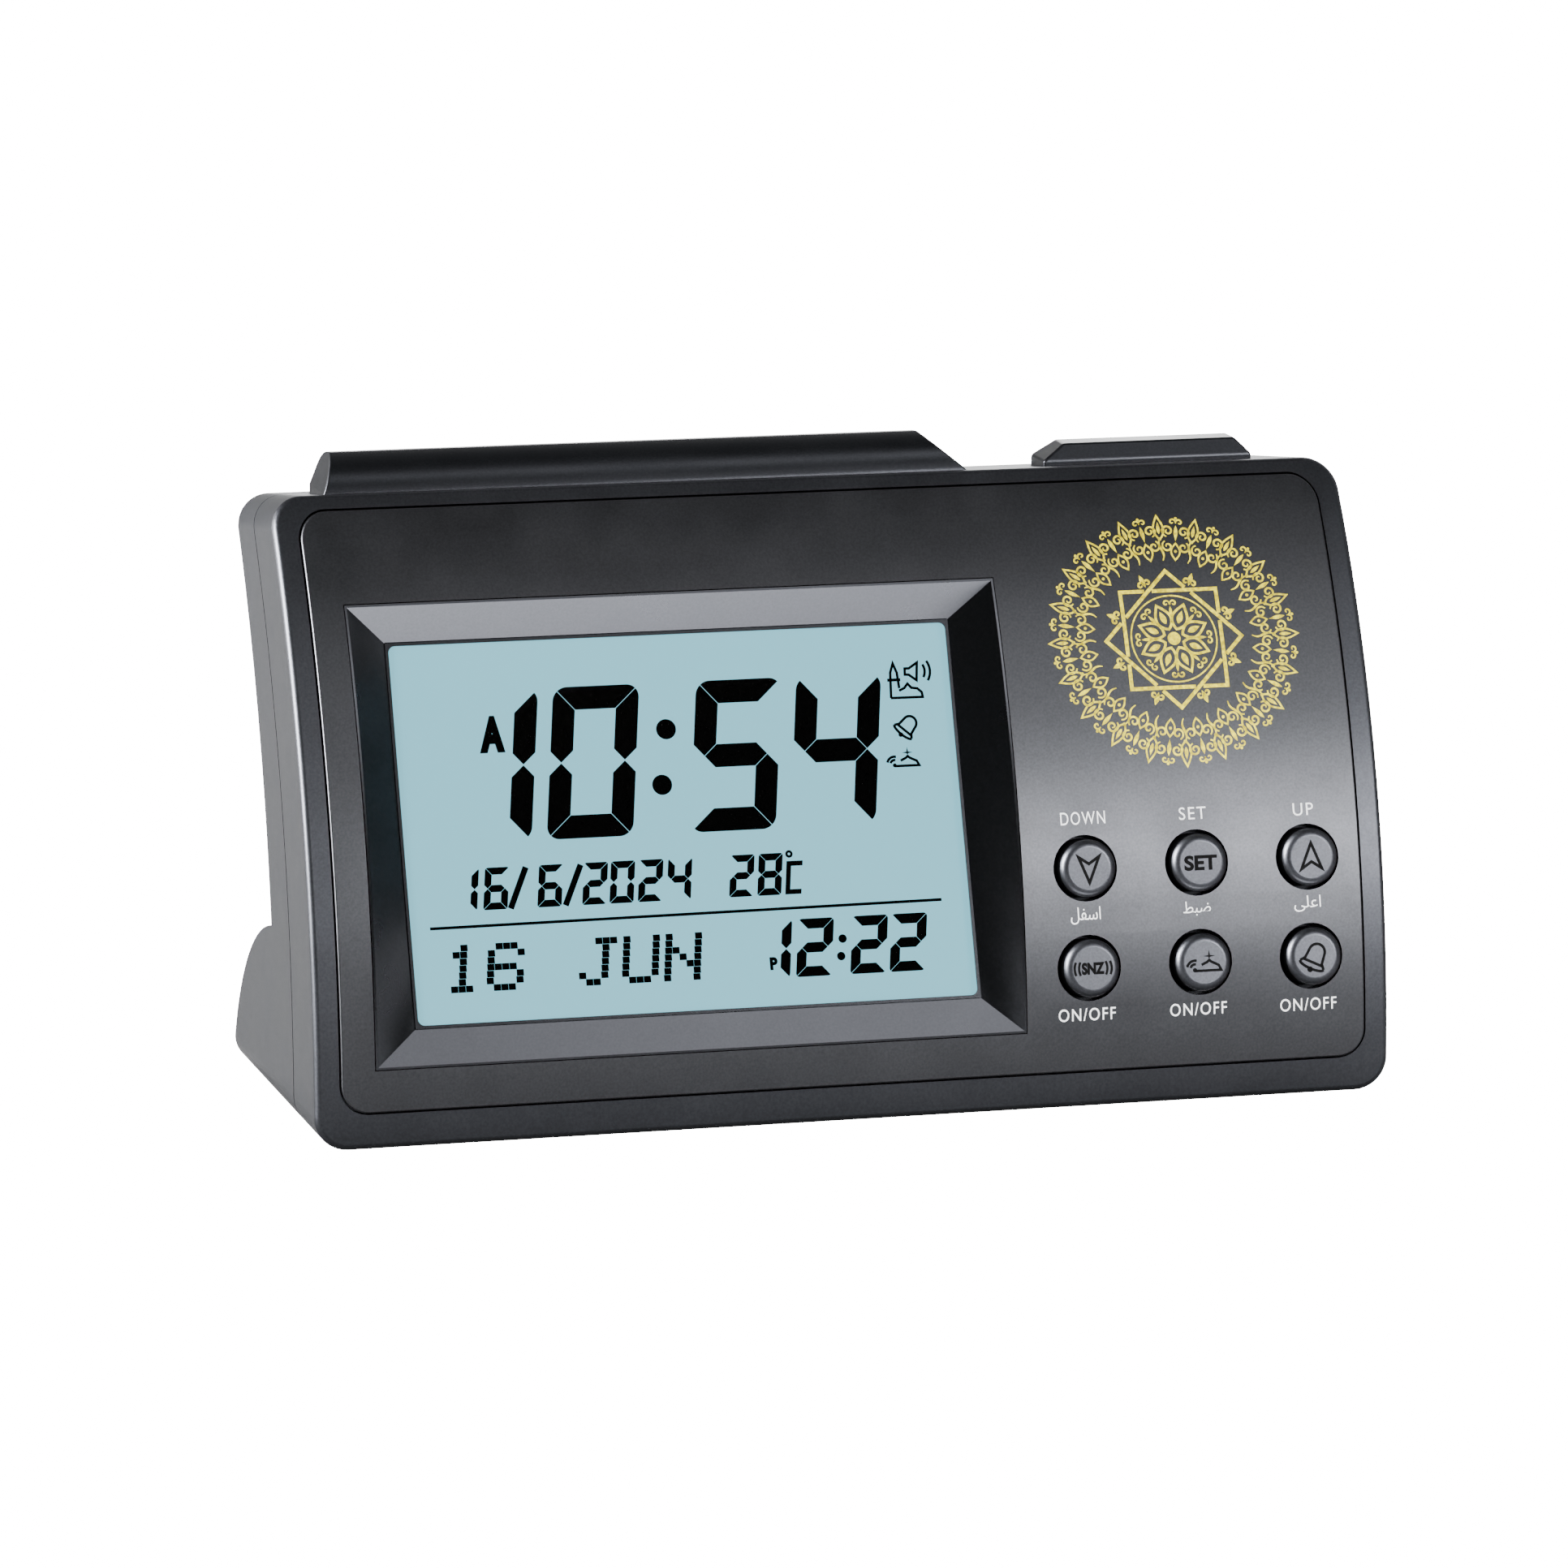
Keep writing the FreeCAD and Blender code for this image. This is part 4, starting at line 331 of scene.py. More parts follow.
# %% Finishes of the parts
FINISHES = {
    "housing_plastic": finish(
        "satin_charcoal", grey(0.066, 0.15), grey(0.081, 0.15), 0.36, metallic=1.0),
    # painted shade darkens the walls of the holes in the panel and the skirts of the keys
    "fascia": painted_shade_below(finish(
        "metallic_charcoal", grey(0.073, 0.11), grey(0.089, 0.11), 0.34, metallic=1.0),
        out_of_face, FACE_SHADE_FROM),
    "bezel_plastic": finish(
        "gloss_black", grey(0.100, 0.14), grey(0.110, 0.14), 0.28, metallic=1.0, relief=0.0,
        spread=0.02),
    "bar_plastic": finish(
        "satin_black", grey(0.036, 0.15), grey(0.042, 0.15), 0.32, metallic=1.0, relief=0.03),
    "key_plastic": painted_shade_below(finish(
        "key_grey", grey(0.085, 0.15), grey(0.105, 0.15), 0.36, metallic=1.0),
        out_of_keys, KEY_SHADE_FROM),
    "clear_window": finish(
        "clear_acrylic", grey(0.001), grey(0.002), 0.06, spread=0.01, relief=0.0, Alpha=0.08),
    # the display's glow is painted light: its emission stands in for the light the display would
    # reflect
    "lcd": finish(
        "liquid_crystal_painted_glow", (0.02, 0.05, 0.063), (0.023, 0.057, 0.07), 0.55, relief=0.0,
        cloud=12.0, Emission_Color=(0.351, 1.0, 1.206, 1), Emission_Strength=0.926),
    "light_guide": finish("milky_acrylic", grey(0.75), grey(0.8), 0.3, relief=0.0),
    "lamp": finish("lamp_resin", (0.9, 0.85, 0.6), (0.95, 0.9, 0.7), 0.3),
    "connector_rubber": finish("striped_rubber", (0.5, 0.3, 0.3), (0.7, 0.5, 0.5), 0.7),
    "inner_plastic": finish("natural_plastic", grey(0.55), grey(0.62), 0.45),
    "circuit_board": finish(
        "solder_mask", (0.01, 0.10, 0.03), (0.02, 0.16, 0.05), 0.35, grain=500.0),
    "chip": finish("epoxy_black", grey(0.012), grey(0.02), 0.5),
    "tin_can": finish("tin", grey(0.5), grey(0.6), 0.25, metallic=1.0),
    "switch_body": finish("switch_tin", grey(0.4), grey(0.5), 0.35, metallic=0.9),
    "plunger_plastic": finish("plunger_black", grey(0.02), grey(0.03), 0.45),
    "basket_steel": finish("zinc_steel", (0.45, 0.42, 0.3), (0.55, 0.52, 0.4), 0.35, metallic=1.0),
    "magnet": finish("ferrite", grey(0.05), grey(0.08), 0.6),
    "paper_cone": finish("paper", (0.03, 0.03, 0.03), (0.06, 0.055, 0.05), 0.9, grain=900.0),
    "cell_jacket": finish("cell_foil", (0.02, 0.06, 0.16), (0.03, 0.08, 0.2), 0.3, metallic=0.3),
    "contact_metal": finish("nickel", grey(0.55), grey(0.65), 0.25, metallic=1.0),
    "foot_rubber": finish("black_rubber", grey(0.02), grey(0.035), 0.85, relief=0.3),
    "screw_steel": finish("black_zinc", grey(0.12), grey(0.18), 0.35, metallic=1.0),
    "red_insulation": finish("red_sleeve", (0.45, 0.01, 0.01), (0.55, 0.02, 0.02), 0.4),
    "black_insulation": finish("black_sleeve", grey(0.01), grey(0.02), 0.4),
    "grey_sleeve": finish("grey_sleeve", grey(0.2), grey(0.25), 0.5),
}


# A CAD node arrives with one material slot, named after the record's finish for it.
for node_object in nodes.values():
    for material_slot in node_object.material_slots:
        material_slot.material = FINISHES[material_slot.material.name.split(".")[0]]
print("finishes:", len(FINISHES), "on", len(nodes), "nodes")

# %% [markdown]
# ## Flat shapes
#
# Segments, letters, icons and ornament are all flat shapes with a hair of thickness: paint on a
# panel, or electrodes in a display. A shape is a table of points and a table of triangles. We
# make shapes from outlines, from strokes of a pen, and from letters, and can turn and join them.

# %% Outlines, strokes and letters
NO_AREA = 1e-7  # square millimetres
FONT_STEPS = 5  # points on each curve of a letter


def facing_up(points, triangles):
    """The same triangles, each turned counter-clockwise: where the cross product of two sides
    is negative, two corners change places. Triangles without area are left out."""
    triangles = np.asarray(triangles)
    a, b, c = (points[triangles[:, k]] for k in range(3))
    area = (b[:, 0] - a[:, 0]) * (c[:, 1] - a[:, 1]) - (b[:, 1] - a[:, 1]) * (c[:, 0] - a[:, 0])
    turned = np.where((area < 0)[:, None], triangles[:, ::-1], triangles)
    return points, turned[np.abs(area) > NO_AREA]


def filled(*outlines):
    """The inside of the first outline, without the inside of the others."""
    outlines = [np.asarray(outline, float) for outline in outlines]
    loops = [[Vector((x, y, 0)) for x, y in outline] for outline in outlines]
    return facing_up(np.vstack(outlines), tessellate_polygon(loops))


def stroke(line, width, closed=False):
    """A band along a line. Every corner moves sideways along its mitre: the sum of the normals
    of the two runs that meet there, divided by its own length along either normal. The width
    is one number, or one for each corner."""
    line = np.asarray(line, float)
    runs = np.diff(np.vstack([line, line[:1]]) if closed else line, axis=0)
    runs /= np.linalg.norm(runs, axis=1, keepdims=True)
    normals = np.column_stack([-runs[:, 1], runs[:, 0]])
    before = np.roll(normals, 1, axis=0) if closed else np.vstack([normals[:1], normals])
    after = normals if closed else np.vstack([normals, normals[-1:]])
    mitre = before + after
    mitre /= np.sum(mitre * before, axis=1, keepdims=True)
    half = np.broadcast_to(np.asarray(width, float) / 2, len(line))[:, None]
    points = np.vstack([line + mitre * half, line - mitre * half])
    count = len(line)
    here = np.arange(count if closed else count - 1)
    there = (here + 1) % count
    triangles = np.vstack([
        np.column_stack([here + count, there + count, there]),
        np.column_stack([here + count, there, here])])
    return facing_up(points, triangles)


def arc(centre, radius, start, stop, steps):
    """Points round a centre, from one angle in degrees to another."""
    turn = np.radians(np.linspace(start, stop, steps))
    return np.column_stack([
        centre[0] + radius * np.cos(turn), centre[1] + radius * np.sin(turn)])


def disc(centre, radius, steps=24):
    """A filled circle, as a polygon with so many corners."""
    return filled(arc(centre, radius, 0, 360 - 360 / steps, steps))


def joined(*shapes):
    """Several shapes as one: points in one table, triangles counted on."""
    starts = np.cumsum([0] + [len(points) for points, _ in shapes[:-1]])
    return (np.vstack([points for points, _ in shapes]),
            np.vstack([triangles + start for (_, triangles), start in zip(shapes, starts)]))


def moved(shape, across=0.0, up=0.0, turn=0.0, lean=0.0):
    """The shape leaned over by so much across for each step up, turned by an angle in degrees
    and shifted."""
    points, triangles = shape
    x, y = points[:, 0] + points[:, 1] * lean, points[:, 1]
    c, s = math.cos(math.radians(turn)), math.sin(math.radians(turn))
    return np.column_stack([x * c - y * s + across, x * s + y * c + up]), triangles


def round_about(shape, count, offset=0.0):
    """Copies of a shape, turned about the origin by equal angles."""
    return joined(*(moved(shape, turn=offset + 360 * k / count) for k in range(count)))


def lettering(words, width, height, weight, spacing=1.0):
    """Letters of Blender's own font, moved to the origin and stretched to the width and the
    height."""
    curve = bpy.data.curves.new("lettering", "FONT")
    curve.body, curve.offset, curve.space_character = words, weight, spacing
    curve.resolution_u = FONT_STEPS
    holder = bpy.data.objects.new("lettering", curve)
    mesh = bpy.data.meshes.new_from_object(holder)
    mesh.calc_loop_triangles()
    points = np.empty(len(mesh.vertices) * 3)
    mesh.vertices.foreach_get("co", points)
    points = points.reshape(-1, 3)[:, :2]
    triangles = np.empty(len(mesh.loop_triangles) * 3, np.int64)
    mesh.loop_triangles.foreach_get("vertices", triangles)
    bpy.data.meshes.remove(mesh)
    bpy.data.objects.remove(holder)
    low, high = points.min(axis=0), points.max(axis=0)
    points = (points - (low + high) / 2) / (high - low) * [width, height]
    return facing_up(points, triangles.reshape(-1, 3))


print("a stroke of two runs has", len(stroke([(0, 0), (1, 0), (1, 1)], 0.1)[1]), "triangles")

# %% [markdown]
# ## From flat to solid
#
# A flat shape becomes a closed solid: a bottom, a top, and a wall along each edge that only one
# triangle uses. A place function says where a point of the flat drawing lies on the clock: on
# the tilted display, round the curved front panel, or on top of a key.

# %% Solids and places


def on_slope(tilt, origin, centre=(0.0, 0.0)):
    """Places for a plane that leans back by the tilt: across is X, up climbs the slope, and
    out is square to it."""
    def place(across, up, out):
        across, up = across + centre[0], up + centre[1]
        return MM * np.stack([
            origin[0] + across,
            origin[1] + up * math.sin(tilt) - out * math.cos(tilt),
            origin[2] + up * math.cos(tilt) + out * math.sin(tilt)], axis=-1)
    return place


def on_face(centre):
    """Places round the curved front panel: up is the arc that is climbed, which divided by the
    radius is the angle, and out adds to the radius."""
    def place(across, up, out):
        angle = (up + centre[1]) / FACE_RADIUS
        return MM * np.stack([
            across + centre[0],
            FACE_CENTRE[0] - (FACE_RADIUS + out) * np.cos(angle),
            FACE_CENTRE[1] + (FACE_RADIUS + out) * np.sin(angle)], axis=-1)
    return place


on_screen = on_slope(SCREEN_TILT, SCREEN_ORIGIN)


def raised(name, shape, place, low, high, material, body="housing"):
    """The shape as a closed solid between two levels above its surface, riding on a body."""
    points, triangles = shape
    count = len(points)
    edges = np.vstack([triangles[:, [0, 1]], triangles[:, [1, 2]], triangles[:, [2, 0]]])
    _, first, uses = np.unique(
        np.sort(edges, axis=1), axis=0, return_index=True, return_counts=True)
    rim = edges[first[uses == 1]]
    walls = np.column_stack([rim, rim[:, ::-1] + count])
    levels = [place(points[:, 0], points[:, 1], level) for level in (low, high)]
    faces = [*triangles[:, ::-1].tolist(), *(triangles + count).tolist(), *walls.tolist()]
    mesh = bpy.data.meshes.new(name)
    mesh.from_pydata(np.vstack(levels).tolist(), [], faces)
    mesh.materials.append(material)
    mesh.update()
    piece = bpy.data.objects.new(name, mesh)
    bpy.context.scene.collection.objects.link(piece)
    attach(piece, body)


print("the middle of the display is at", (on_screen(0, 0, 0) / MM).round(2))

# %% [markdown]
# ## Inks
#
# Display segments are black film. The words on the panel are white ink and the ornament is
# gold ink, both a little raised and uneven, as silk-screen printing is.

# %% Inks
SEGMENT_BLACK = finish(
    "segment_black", grey(0.0), grey(0.0005), 0.6, relief=0.0, Specular_IOR_Level=0.0)
WHITE_INK = finish("white_ink", grey(0.84), grey(0.94), 0.5, grain=5000.0, relief=0.05)
GOLD_INK = finish(
    "gold_ink", (0.42, 0.32, 0.0), (0.95, 0.80, 0.015), 0.36, metallic=0.3, grain=1500.0,
    relief=0.10)
ENGRAVED = finish(
    "engraved_black", grey(0.001), grey(0.003), 0.6, relief=0.05, Specular_IOR_Level=0.1)
print("inks:", SEGMENT_BLACK.name, WHITE_INK.name, GOLD_INK.name, ENGRAVED.name)

# %% [markdown]
# ## Seven segments
#
# A digit is cut from one upright cell. The outer corners of the cell are round, the segments
# meet on mitres with a hair of gap, and the middle bar is a long hexagon. The whole cell then
# leans to the right.

# %% One digit
LEAN = 0.127  # across for each step up
ROUNDING_SHARE = 0.4  # radius of the outer corners, as a share of the segment's thickness
SEGMENTS_OF = {
    "0": "abcdef", "1": "bc", "2": "abged", "3": "abgcd", "4": "fgbc", "5": "afgcd",
    "6": "afgecd", "7": "abc", "8": "abcdefg", "9": "abcdfg"}


def segment_outlines(width, height, thick, gap, rounding):
    """Outlines of the seven segments about the middle of the cell. The top one and the upper
    right one are drawn; the others are their mirror images."""
    right, top = width / 2, height / 2
    slit = gap * math.sqrt(0.5)
    corner = (right - rounding, top - rounding)
    step = math.degrees(gap / 2 / max(rounding, gap))
    top_bar = np.vstack([
        arc(corner, rounding, 45 + step, 90, 5),
        arc((-corner[0], corner[1]), rounding, 90, 135 - step, 5),
        [(-right + thick + slit, top - thick), (right - thick - slit, top - thick)]])
    upper_right = np.vstack([
        arc(corner, rounding, 0, 45 - step, 5),
        [(right - thick, top - thick - slit), (right - thick, thick / 2 + slit),
         (right - thick / 2, slit), (right, thick / 2 + slit)]])
    middle = np.array([
        (right - thick / 2 - slit, 0), (right - thick - slit, thick / 2),
        (thick - right + slit, thick / 2), (thick / 2 - right + slit, 0),
        (thick - right + slit, -thick / 2), (right - thick - slit, -thick / 2)])
    return {
        "a": top_bar, "b": upper_right, "c": upper_right * [1, -1], "d": top_bar * [1, -1],
        "e": upper_right * [-1, -1], "f": upper_right * [-1, 1], "g": middle}


def digits(text, left_edges, middle, width, height, thick, gap, rounding=None):
    """Digits side by side; each stands with the left edge of its cell at the given place."""
    outlines = segment_outlines(width, height, thick, gap, rounding or thick * ROUNDING_SHARE)
    shapes = [
        moved(filled(outlines[letter]), left + width / 2, middle, lean=LEAN)
        for figure, left in zip(text, left_edges) for letter in SEGMENTS_OF[figure]]
    return joined(*shapes)


# %% [markdown]
# ## The lip and the time
#
# A black lip runs round the window; its black is a painted shadow line along the edge of the
# display. Behind the window the segments are a thin film on the display, so each digit is raised
# by a few hundredths of a millimetre only.

# %% The lip and the time
FILM_LOW, FILM_HIGH = -1.245, -1.215
LIP_LOW, LIP_HIGH = -0.02, 0.25
# left, right, low, high, radius of the corners
LIP_EDGES, WINDOW_EDGES = (-73.1, 20.8, -31.1, 31.1, 0.2), (-72.6, 20.3, -30.6, 30.6, 1.1)
TIME_EDGES, TIME_MIDDLE = (-64.05, -47.25, -23.45, -6.65), 10.67
TIME_WIDTH, TIME_HEIGHT, TIME_THICK = 14.3, 24.6, 3.75


def on_display(name, shape):
    """Black film inside the display, under its glass."""
    raised(name, shape, on_screen, FILM_LOW, FILM_HIGH, SEGMENT_BLACK)


def rounded_corners(left, right, low, high, radius, steps=6):
    """Outline of a rectangle whose corners are quarter circles."""
    corners = ((right, high, 0), (left, high, 90), (left, low, 180), (right, low, 270))
    return np.vstack([
        arc((x - radius * (1 if x == right else -1), y - radius * (1 if y == high else -1)),
            radius, start, start + 90, steps) for x, y, start in corners])


# the black lip is a painted shadow line along the edge of the display
raised("window_lip", filled(rounded_corners(*LIP_EDGES), rounded_corners(*WINDOW_EDGES)),
       on_screen, LIP_LOW, LIP_HIGH, FINISHES["bar_plastic"])
on_display("time_digits", digits(
    "1054", TIME_EDGES, TIME_MIDDLE, TIME_WIDTH, TIME_HEIGHT, TIME_THICK, gap=0.1, rounding=2.2))
on_display("time_colon", joined(disc((-27.58, 15.37), 1.65), disc((-29.0, 6.36), 1.65)))
print("time digits are", TIME_HEIGHT, "mm high")

# %% [markdown]
# ## The rest of the display
#
# Under the time runs the date with the temperature, then a thin line, and under its right half
# a smaller time. They are cut from the same cell as the large digits.

# %% Date, temperature and divider
DATE_EDGES = (-64.75, -59.75, -50.85, -43.45, -38.95, -34.25, -29.45, -19.05, -14.35)
DATE_MIDDLE = -9.05
CLOCK_EDGES, CLOCK_MIDDLE = (-15.9, -8.9, 0.2, 6.8), -21.25


def date_row():
    """The figures of a date between slashes, then degrees."""
    figures = digits("166202428", DATE_EDGES, DATE_MIDDLE, 4.0, 6.8, 1.15, gap=0.06)
    slashes = [
        stroke([(-55.65, -12.4), (-52.65, -5.85)], 1.0),
        stroke([(-46.6, -12.35), (-43.6, -5.9)], 1.0)]
    degree = stroke(arc((-8.9, -5.9), 0.42, 0, 345, 16), 0.40, closed=True)
    return joined(figures, *slashes, degree)


def small_c():
    """Centigrade: three bars of a thin segment figure."""
    return moved(stroke([(1.15, 2.3), (-1.15, 2.3), (-1.15, -2.3), (1.15, -2.3)], 0.80),
                 -8.2, -9.75, lean=LEAN)


on_display("date_digits", date_row())
on_display("temperature_unit", small_c())
on_display("divider_line", stroke([(-69.1, -15.0), (16.0, -14.6)], 0.48))
on_display("small_time_digits", digits(
    "1222", CLOCK_EDGES, CLOCK_MIDDLE, 6.0, 9.4, 1.65, gap=0.07))
on_display("small_time_colon", joined(
    disc((-1.17, -20.1), 0.7, 16), disc((-1.65, -22.93), 0.7, 16)))
print("figures of the date:", len(DATE_EDGES), "and of the small time:", len(CLOCK_EDGES))

# %% [markdown]
# ## Square dots
#
# The day and the month are written with square dots, as a cheap display does. We don't draw a
# letter: a few numbers say which dots of a grid are dark, and all the dots become one mesh.

# %% Morning sign and dot letters
DOTS_ACROSS, DOTS_UP = 5, 7
DOT_ROWS = {
    "1": (4, 12, 4, 4, 4, 4, 14), "6": (14, 17, 16, 30, 17, 17, 14),
    "J": (7, 2, 2, 2, 2, 18, 12), "U": (17, 17, 17, 17, 17, 17, 14),
    "N": (17, 17, 25, 21, 19, 17, 17)}


def dot_letters(text, left_edges, bottom, pitch_across, pitch_up, fill=0.96):
    """Letters of five by seven square dots. Each row of a letter is a number whose five bits
    say which dots are dark."""
    bits = np.array([DOT_ROWS[letter] for letter in text])
    dark = (bits[:, :, None] >> np.arange(DOTS_ACROSS)[::-1]) & 1
    which, row, column = np.nonzero(dark)
    across = np.asarray(left_edges)[which] + (column + 0.5) * pitch_across
    up = bottom + (DOTS_UP - row - 0.5) * pitch_up
    across = across + (up - bottom - DOTS_UP / 2 * pitch_up) * LEAN
    corner = np.array([(-1, -1), (1, -1), (1, 1), (-1, 1)]) * fill / 2
    points = np.stack([across, up], axis=-1)[:, None] + corner * [pitch_across, pitch_up]
    first = 4 * np.arange(len(across))[:, None]
    triangles = np.vstack([first + [0, 1, 2], first + [0, 2, 3]])
    return points.reshape(-1, 2), triangles


on_display("dot_letters", dot_letters(
    "16JUN", (-67.3, -60.3, -45.1, -38.0, -31.0), -25.5, 1.22, 1.1))
on_display("morning_sign", moved(lettering("A", 4.2, 6.0, weight=0.08), -56.35, 15.85, lean=0.05))
on_display("afternoon_sign", moved(lettering("P", 1.3, 2.1, weight=0.06), -13.0, -23.55))
print("dots of JUN:", sum(row.bit_count() for letter in "JUN" for row in DOT_ROWS[letter]))

# %% [markdown]
# ## Little pictures
#
# A mosque, a loudspeaker, a bell and a dome stand in a column on the right. Each is a few
# strokes of one fine pen, so they look alike. The bell and the dome come back on the keys.

# %% Little pictures of the display
FINE = 0.42


def mosque_icon():
    """A tower with a balcony and a pointed cap, and the outline of the roof beside it."""
    tower = stroke(
        [(10.55, 18.75), (10.75, 22.9), (11.3, 24.4), (11.85, 22.9), (12.05, 20.3)], FINE)
    balcony = stroke([(10.15, 21.7), (12.35, 21.7)], 0.5)
    roof = stroke([(10.5, 18.75), (15.9, 18.71), (15.8, 19.5), (15.1, 20.15), (14.1, 20.3),
                   (13.5, 21.0), (12.9, 20.3), (12.0, 19.9)], FINE)
    return joined(tower, balcony, roof)


def speaker_icon():
    """A horn seen from the side and two arcs of sound."""
    horn = stroke([(13.25, 23.5), (13.2, 22.5), (13.85, 22.45), (15.1, 21.5), (15.4, 24.4),
                   (13.95, 23.5)], FINE, closed=True)
    return joined(horn, stroke(arc((14.6, 23.0), 2.0, -32, 32, 9), FINE),
                  stroke(arc((14.6, 23.0), 2.9, -34, 34, 9), FINE))


def bell(size, turn, width=FINE):
    """A bell with a rim line across its mouth, an open lip and a clapper."""
    side = [(-1.9, -1.35), (-1.35, -0.7), (-1.2, 0.6)]
    crown = arc((0, 0.6), 1.2, 180, 0, 13)
    body = stroke(np.vstack([side, crown[1:-1], np.array(side[::-1]) * [-1, 1]]) * size, width)
    lip = stroke(arc((0, -1.35), 1.9, 180, 360, 15) * [size, size * 0.28]
                 + [0, -1.35 * size * 0.72], width)
    mouth = stroke(np.array([(-1.55, -0.95), (1.55, -0.95)]) * size, width)
    return moved(joined(body, lip, mouth, disc((0, -2.0 * size), 0.42 * size, 12)), turn=turn)


def dome_with_sound(size):
    """A low dome on its base line under a four-pointed spark, with sound coming from a dot."""
    hill = np.array([(-1.9, -1.35), (2.6, -1.35), (2.2, -0.55), (0.95, 0.05), (0.6, 0.35),
                     (0.25, 0.05), (-0.75, -0.4)]) * size
    spark = np.array([(0.6, 2.0), (0.75, 1.15), (1.6, 1.0), (0.75, 0.85), (0.6, 0.45),
                      (0.45, 0.85), (-0.4, 1.0), (0.45, 1.15)]) * size
    sound = [stroke(arc((-1.9, -1.0), radius, 75, 165, 8) * size, FINE)
             for radius in (0.75, 1.35)]
    dot = disc((-1.9 * size, -1.2 * size), 0.36 * size, 12)
    return joined(stroke(hill, FINE), filled(spark), dot, *sound)


for name, shape in {
        "mosque_icon": mosque_icon(), "speaker_icon": speaker_icon(),
        "bell_icon": moved(bell(0.95, -42), 12.9, 14.1),
        "dome_icon": moved(dome_with_sound(0.92), 11.9, 8.8)}.items():
    on_display(name, shape)
print("icons drawn with a", FINE, "mm line")

# %% [markdown]
# ## Words on the panel
#
# Each upper key has its name above it in Latin and below it in Arabic, and under each lower key
# stands ON/OFF. Printed ink is only a few hundredths of a millimetre thick, so it follows the
# curve of the panel.

# %% Words
INK_LOW, INK_HIGH = -0.04, 0.03
LATIN_SPACING, ARABIC_SPACING = 1.18, 1.0


def on_panel(name, shape, centre, material):
    """Ink round the curve of the front panel."""
    raised(name, shape, on_face(centre), INK_LOW, INK_HIGH, material)


# letters, width, height, weight of the pen, middle
WORDS = {
    "down": ("DOWN", 7.6, 2.1, 0.0, (38.7, 47.3)),
    "set": ("SET", 4.6, 2.05, 0.0, (57.4, 47.2)),
    "up": ("UP", 3.5, 2.05, 0.0, (76.4, 46.95)),
    "on_off_left": ("ON/OFF", 9.7, 2.05, 0.004, (38.1, 15.4)),
    "on_off_middle": ("ON/OFF", 9.7, 2.05, 0.004, (57.1, 15.3)),
    "on_off_right": ("ON/OFF", 9.7, 2.05, 0.004, (76.0, 15.05)),
}
ARABIC_WORDS = {
    "down_arabic": ("ﻞﻔﺳﺍ", 5.1, 2.75, 0.0, (38.3, 31.5)),
    "set_arabic": ("ﻂﺒﺿ", 4.7, 2.35, 0.0, (57.3, 31.7)),
    "up_arabic": ("ﻰﻠﻋﺍ", 4.6, 2.6, 0.0, (76.3, 31.55)),
}
for name, (words, width, height, weight, centre) in {**WORDS, **ARABIC_WORDS}.items():
    spacing = ARABIC_SPACING if name in ARABIC_WORDS else LATIN_SPACING
    shape = lettering(words, width, height, weight, spacing)
    on_panel("word_" + name, shape, centre, WHITE_INK)
print("words:", len(WORDS) + len(ARABIC_WORDS))

# %% [markdown]
# ## The gold rosette
#
# The round ornament is generic: a star of two interlaced squares inside a ring of leaves and
# scrolls. Only one part in eight, or one in twenty, is drawn; it is then turned about the middle.

# %% Leaves and stars


def leaf(inner, outer, half_width, belly, steps=18):
    """Outline of a pointed leaf along Y: the half width is an arch of a sine over the way
    along, which is first raised to a power that draws the belly inward or outward."""
    way = np.linspace(0, 1, steps)
    side = half_width * np.sin(np.pi * way ** belly)
    along = inner + (outer - inner) * way
    return np.vstack([np.column_stack([side, along]),
                      np.column_stack([-side, along])[-2:0:-1]])


def curl(centre, start_radius, end_radius, start, stop, width, steps=26):
    """A tapering spiral stroke: the radius changes evenly with the angle, and the width
    follows an arch of a sine that is cut off before it reaches zero."""
    way = np.linspace(0, 1, steps)
    radius = start_radius + (end_radius - start_radius) * way
    turn = np.radians(start + (stop - start) * way)
    line = np.column_stack([centre[0] + radius * np.cos(turn), centre[1] + radius * np.sin(turn)])
    return stroke(line, width * (0.35 + 0.65 * np.sin(np.pi * (0.15 + 0.8 * way))))


def both_sides(shape):
    """The shape and its mirror image in Y's axis."""
    points, triangles = shape
    return joined(shape, (points * [-1, 1], triangles[:, ::-1]))


def wave(inner, outer, swing, width, steps=20):
    """A stem along Y that swings once to each side as a full turn of a sine does, and is
    thinner at both ends."""
    way = np.linspace(0, 1, steps)
    line = np.column_stack([swing * np.sin(2 * np.pi * way), inner + (outer - inner) * way])
    return stroke(line, width * (0.4 + 0.6 * np.sin(np.pi * way)))


def finely(line, step=1.2):
    """The line with points put in between, so that it can follow the curve of the panel: each
    run is cut into equal pieces, none longer than the step."""
    line = np.asarray(line, float)
    way = np.concatenate([[0], np.cumsum(np.linalg.norm(np.diff(line, axis=0), axis=1))])
    stops = np.unique(np.concatenate([
        np.linspace(a, b, 1 + math.ceil((b - a) / step)) for a, b in zip(way, way[1:])]))
    return np.column_stack([np.interp(stops, way, line[:, k]) for k in (0, 1)])


def star_corner(radius, width, gap):
    """A corner of a square. One arm ends where it dives under the other square, 0.293 of the
    radius from the middle of its side; the other arm runs over the first crossing and ends at
    the second."""
    half, crossing = radius * math.sqrt(0.5), radius * (1 - math.sqrt(0.5))
    return stroke(
        finely([(half, crossing + gap), (half, half), (gap - crossing, half)]), width)


